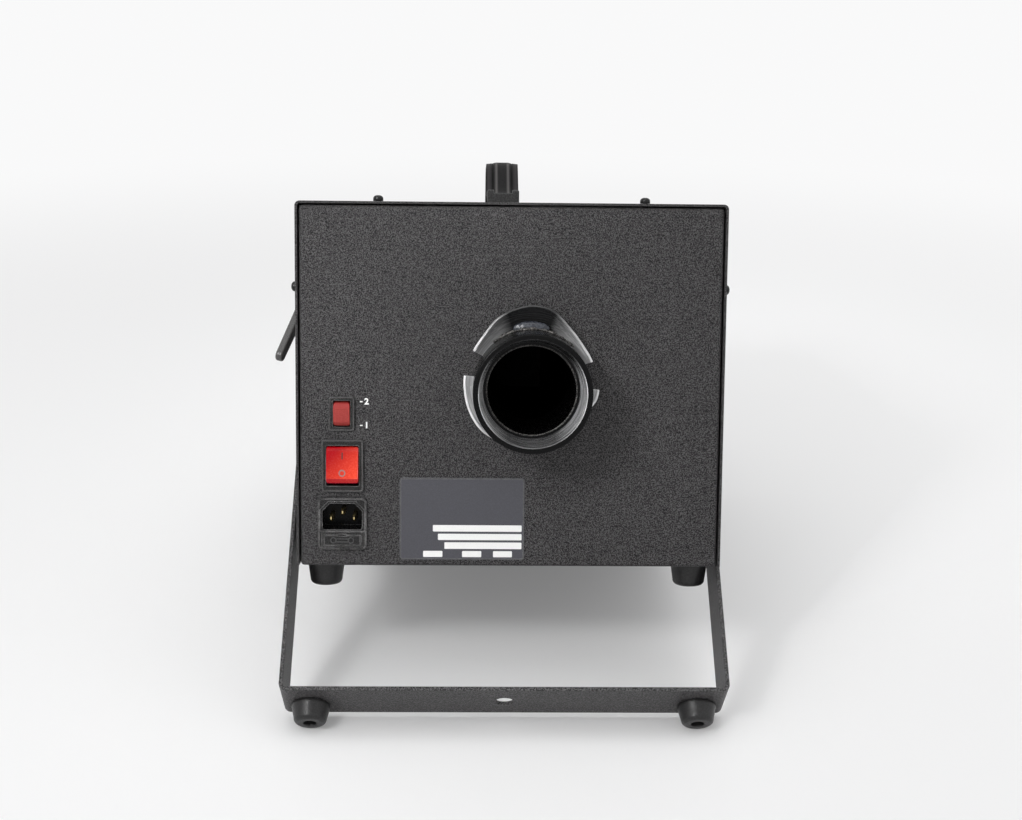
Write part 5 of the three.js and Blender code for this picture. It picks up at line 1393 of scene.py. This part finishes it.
settle(stampPlate(), "box", None, "rating_plate", slot="plate", angle=20)
for number, (left, low, right, high) in enumerate(plate["fields"], 1):
    field = startBlock(f"plateField{number}", (left, plate["front"], low), (right, plate["front"] + 0.2, high))
    settle(bevelled(field, runsBack, 0.5, 4), "box", "plateField", slot="plate", angle=20)
print("plate on")

# yoke, its pivots and the clamping lever
yoke = {"outer": 270.5, "thickness": 2.5, "bar": 36, "length": 304.5, "bend": 4.5, "pivotHole": 4.4, "clampHole": 5.5,
        "footHole": 2.2}


def bendYoke():
    half, wide, low = yoke["outer"] / 2, yoke["bar"] / 2, -yoke["length"]
    piece = startBlock("yokeBar", (-half, -wide, low), (half, wide, wide))
    shape(piece)
    bevelEdges(piece, lambda at, along: runsBack(at, along) and at.z < -200, yoke["bend"], 10)
    pickFaces(piece, lambda at, normal: abs(normal.y) > 0.9 or normal.z > 0.9)
    bpy.ops.mesh.delete(type="FACE")
    # round ends to the legs
    pickVerts(piece, lambda at: at.z > wide - 0.1)
    bpy.ops.mesh.bevel(offset=wide * 0.998, offset_type="OFFSET", segments=20, affect="VERTICES", clamp_overlap=True)
    stopShaping()
    tidyMesh(piece)
    thicken(piece, yoke["thickness"])
    places = [((side * half, 0, 0), "x", yoke["pivotHole"], 20) for side in (-1, 1)]
    places.append(((0, 0, low), "z", yoke["clampHole"], 20))
    places += [((side * yokeFootPlace["spread"], yokeFootPlace["setback"], low), "z", yoke["footHole"], 20)
               for side in (-1, 1)]
    return roundEdges(carve(piece, drill(places, 48)), 0.45, 3, 50)


settle(bendYoke(), "yoke", "barCoat", "yoke_bar", place=yokePlace @ shifted(yokeStand["shift"], 0, 0),
       slot="powder_coat")
pivotPlace = boxPlace @ shifted(*yokeStand["pivot"])
alongX = turnedBy("Y", 90)


def ringOf(name, inner, outer, start, end, soft):
    slope = soft * 0.3
    return turnedPiece(name, [(inner, start), (outer - soft, start), (outer - slope, start + slope),
                              (outer, start + soft), (outer, end - soft), (outer - slope, end - slope),
                              (outer - soft, end), (inner, end), (inner, start)], 56, loop=True)


def turnBolt():
    radius = 7.5
    head = turnedPiece("pivotBolt", [(radius * 0.86, 140.4), (radius, 139.4), (radius, 135.2)], 6)
    shank = turnedPiece("shank", [(3.5, 119.2), (4, 119.9), (4, 137)], 32)
    washer = turnedPiece("flange", [(6.9, 135.2), (6.9, 135.9)], 32)
    return carve(head, shank, washer, how="UNION")


settle(ringOf("pivotSpacer", 4.3, 17, -134.9, -130.3, 0.8), "box", "mattePlastic", "pivot_spacer_left",
       place=pivotPlace @ alongX, slot="matte_plastic")
settle(ringOf("pivotWasher", 4.3, 11, 133.1, 134.9, 0.3), "box", "blackSteel", "pivot_washer_right",
       place=pivotPlace @ alongX, slot="black_screws")
settle(turnBolt(), "box", "blackSteel", "pivot_bolt_right", place=pivotPlace @ alongX, slot="black_screws", angle=30)
settle(turnedPiece("pivotStud", [(3.5, -144.7), (4, -144.2), (4, -119.7), (3.5, -119.2)], 32), "clamp", "zincSteel",
       "pivot_stud_left", place=pivotPlace @ alongX, slot="zinc_steel")

lever = {"hub": 9, "hubTop": 7.4, "offset": 6.3, "arm": 59, "root": 12, "tip": 8.5, "thick": 5.4,
         "incline": 16, "swing": 41, "face": -138.0}


def mouldLever():
    hub, top = lever["hub"], lever["hubTop"]
    rings = [(8.2, 0), (hub - 0.25, 0), (hub, 0.3), (top + 0.35, 8.6), (top, 9.6), (top - 0.7, 10.3), (top - 1.6, 10.5)]
    knob = moved(turnedPiece("clampLever", rings, 48), turnedBy("Y", -90))
    # the arm: a round disc drawn out to its slimmer tip
    root, tip = lever["root"] / 2, lever["tip"] / 2
    arm = turnedPiece("arm", [(root, 0), (root, lever["thick"])], 48)
    shape(arm, "VERT")
    pickVerts(arm, lambda at: at.y < 0.01)
    sized((tip / root, tip / root, 1), (0, 0, 0))
    bpy.ops.transform.translate(value=(0, tip - lever["arm"], 0))
    stopShaping()
    upright = Matrix(((0, 0, 1, 0), (1, 0, 0, 0), (0, 1, 0, 0), (0, 0, 0, 1)))
    moved(arm, shifted(-lever["offset"], 0, 0) @ upright)
    moved(arm, turnedBy("Y", lever["incline"]))
    roundEdges(arm, 1.5, 4, 40)
    carve(arm, startBlock("legSide", (0, -20, -20), (20, 20, 20)))
    carve(knob, arm, how="UNION")
    return carve(knob, drill([((-3.5, 0, 0), "x", 4.3, 7.6)], 32))


settle(mouldLever(), "clamp", "leverPlastic", "clamp_lever", slot="matte_plastic", angle=40,
       place=pivotPlace @ shifted(lever["face"], 0, 0) @ turnedBy("X", -lever["swing"]))
print("yoke and lever on")

# intake guard at the back
guard = {"at": (0, 345.3, 112), "rings": [(52, 60), (37, 40), (17, 20)], "thickness": 2, "spoke": 4, "reach": 57,
         "peg": 2, "pegLength": 5.3}


def cutGuard():
    thick, reach, wide, peg = guard["thickness"], guard["reach"], guard["spoke"] / 2, guard["peg"]
    piece, *others = [turnedPiece("ring", [(inner, 0), (outer, 0), (outer, thick), (inner, thick), (inner, 0)], 96,
                                  loop=True) for inner, outer in guard["rings"]]
    others += [moved(startBlock("spoke", (-reach, -wide, 0.05), (reach, wide, thick - 0.05)), turnedBy("Z", turn))
               for turn in (0, 90)]
    carve(piece, *others, how="UNION")
    roundEdges(piece, 0.35, 2, 50)
    end = thick + guard["pegLength"]
    rings = [(peg - 0.4, end), (peg, end - 0.4), (peg, thick + 0.01), (peg, 0.7), (peg - 0.8, 0.25)]
    pegs = [moved(turnedPiece("peg", rings, 24), shifted(x, y, -0.3)) for x, y in pegPlaces]
    return joined("guardRing", piece, *pegs)


# the guard's back faces the panel, so its local height runs forwards
x, y, z = guard["at"]
settle(cutGuard(), "box", "blackSteel", "intake_guard", slot="black_screws",
       place=boxPlace @ shifted(x, y + guard["thickness"], z) @ turnedBy("X", 90))

# what shows through the guard and the bore: (body, finish, slot, how far its edges are softened)
inner = {
    "outlet_locknut": ("box", "glossPlastic", "gloss_plastic", 0.6),
    "air_coupling": ("box", "rubber", "rubber", 0.4),
    "coupling_clamp_front": ("box", "zincSteel", "zinc_steel", 0.2),
    "coupling_clamp_rear": ("box", "zincSteel", "zinc_steel", 0.2),
    "blower_case": ("box", "caseAluminium", "aluminium", 0.8),
    "blower_bracket": ("box", "zincSteel", "zinc_steel", 0.5),
    "isolator_1": ("box", "rubber", "rubber", 0.7),
    "isolator_2": ("box", "rubber", "rubber", 0.7),
    "isolator_3": ("box", "rubber", "rubber", 0.7),
    "motor_frame": ("box", "castAluminium", "aluminium", 0.8),
    "rotor_shaft": ("rotor", "armatureSteel", "zinc_steel", 0.4),
    "impeller": ("rotor", "caseAluminium", "aluminium", 0.35),
    "pivot_nut_left": ("box", "zincSteel", "zinc_steel", 0.5),
    "pivot_nut_right": ("box", "zincSteel", "zinc_steel", 0.5),
}


def refined(node, name, width):
    # a copy of the frame's own solid, already in metres, with clean faces and softened edges
    piece = copied(cad[node], name)
    for key in list(piece.keys()):
        del piece[key]
    shape(piece, "VERT")
    pickAll()
    bpy.ops.mesh.remove_doubles(threshold=0.002 * mm)
    bpy.ops.mesh.dissolve_limited(angle_limit=math.radians(0.5))
    stopShaping()
    return roundEdges(piece, width * mm, 2, 30)


for node, (body, paint, slotName, width) in inner.items():
    piece = refined(node, node.replace("_", " ").title().replace(" ", "") + "Fine", width)
    settle(piece, body, paint, node, place=toMetres.inverted(), slot=slotName, angle=35)
print("inside finished")
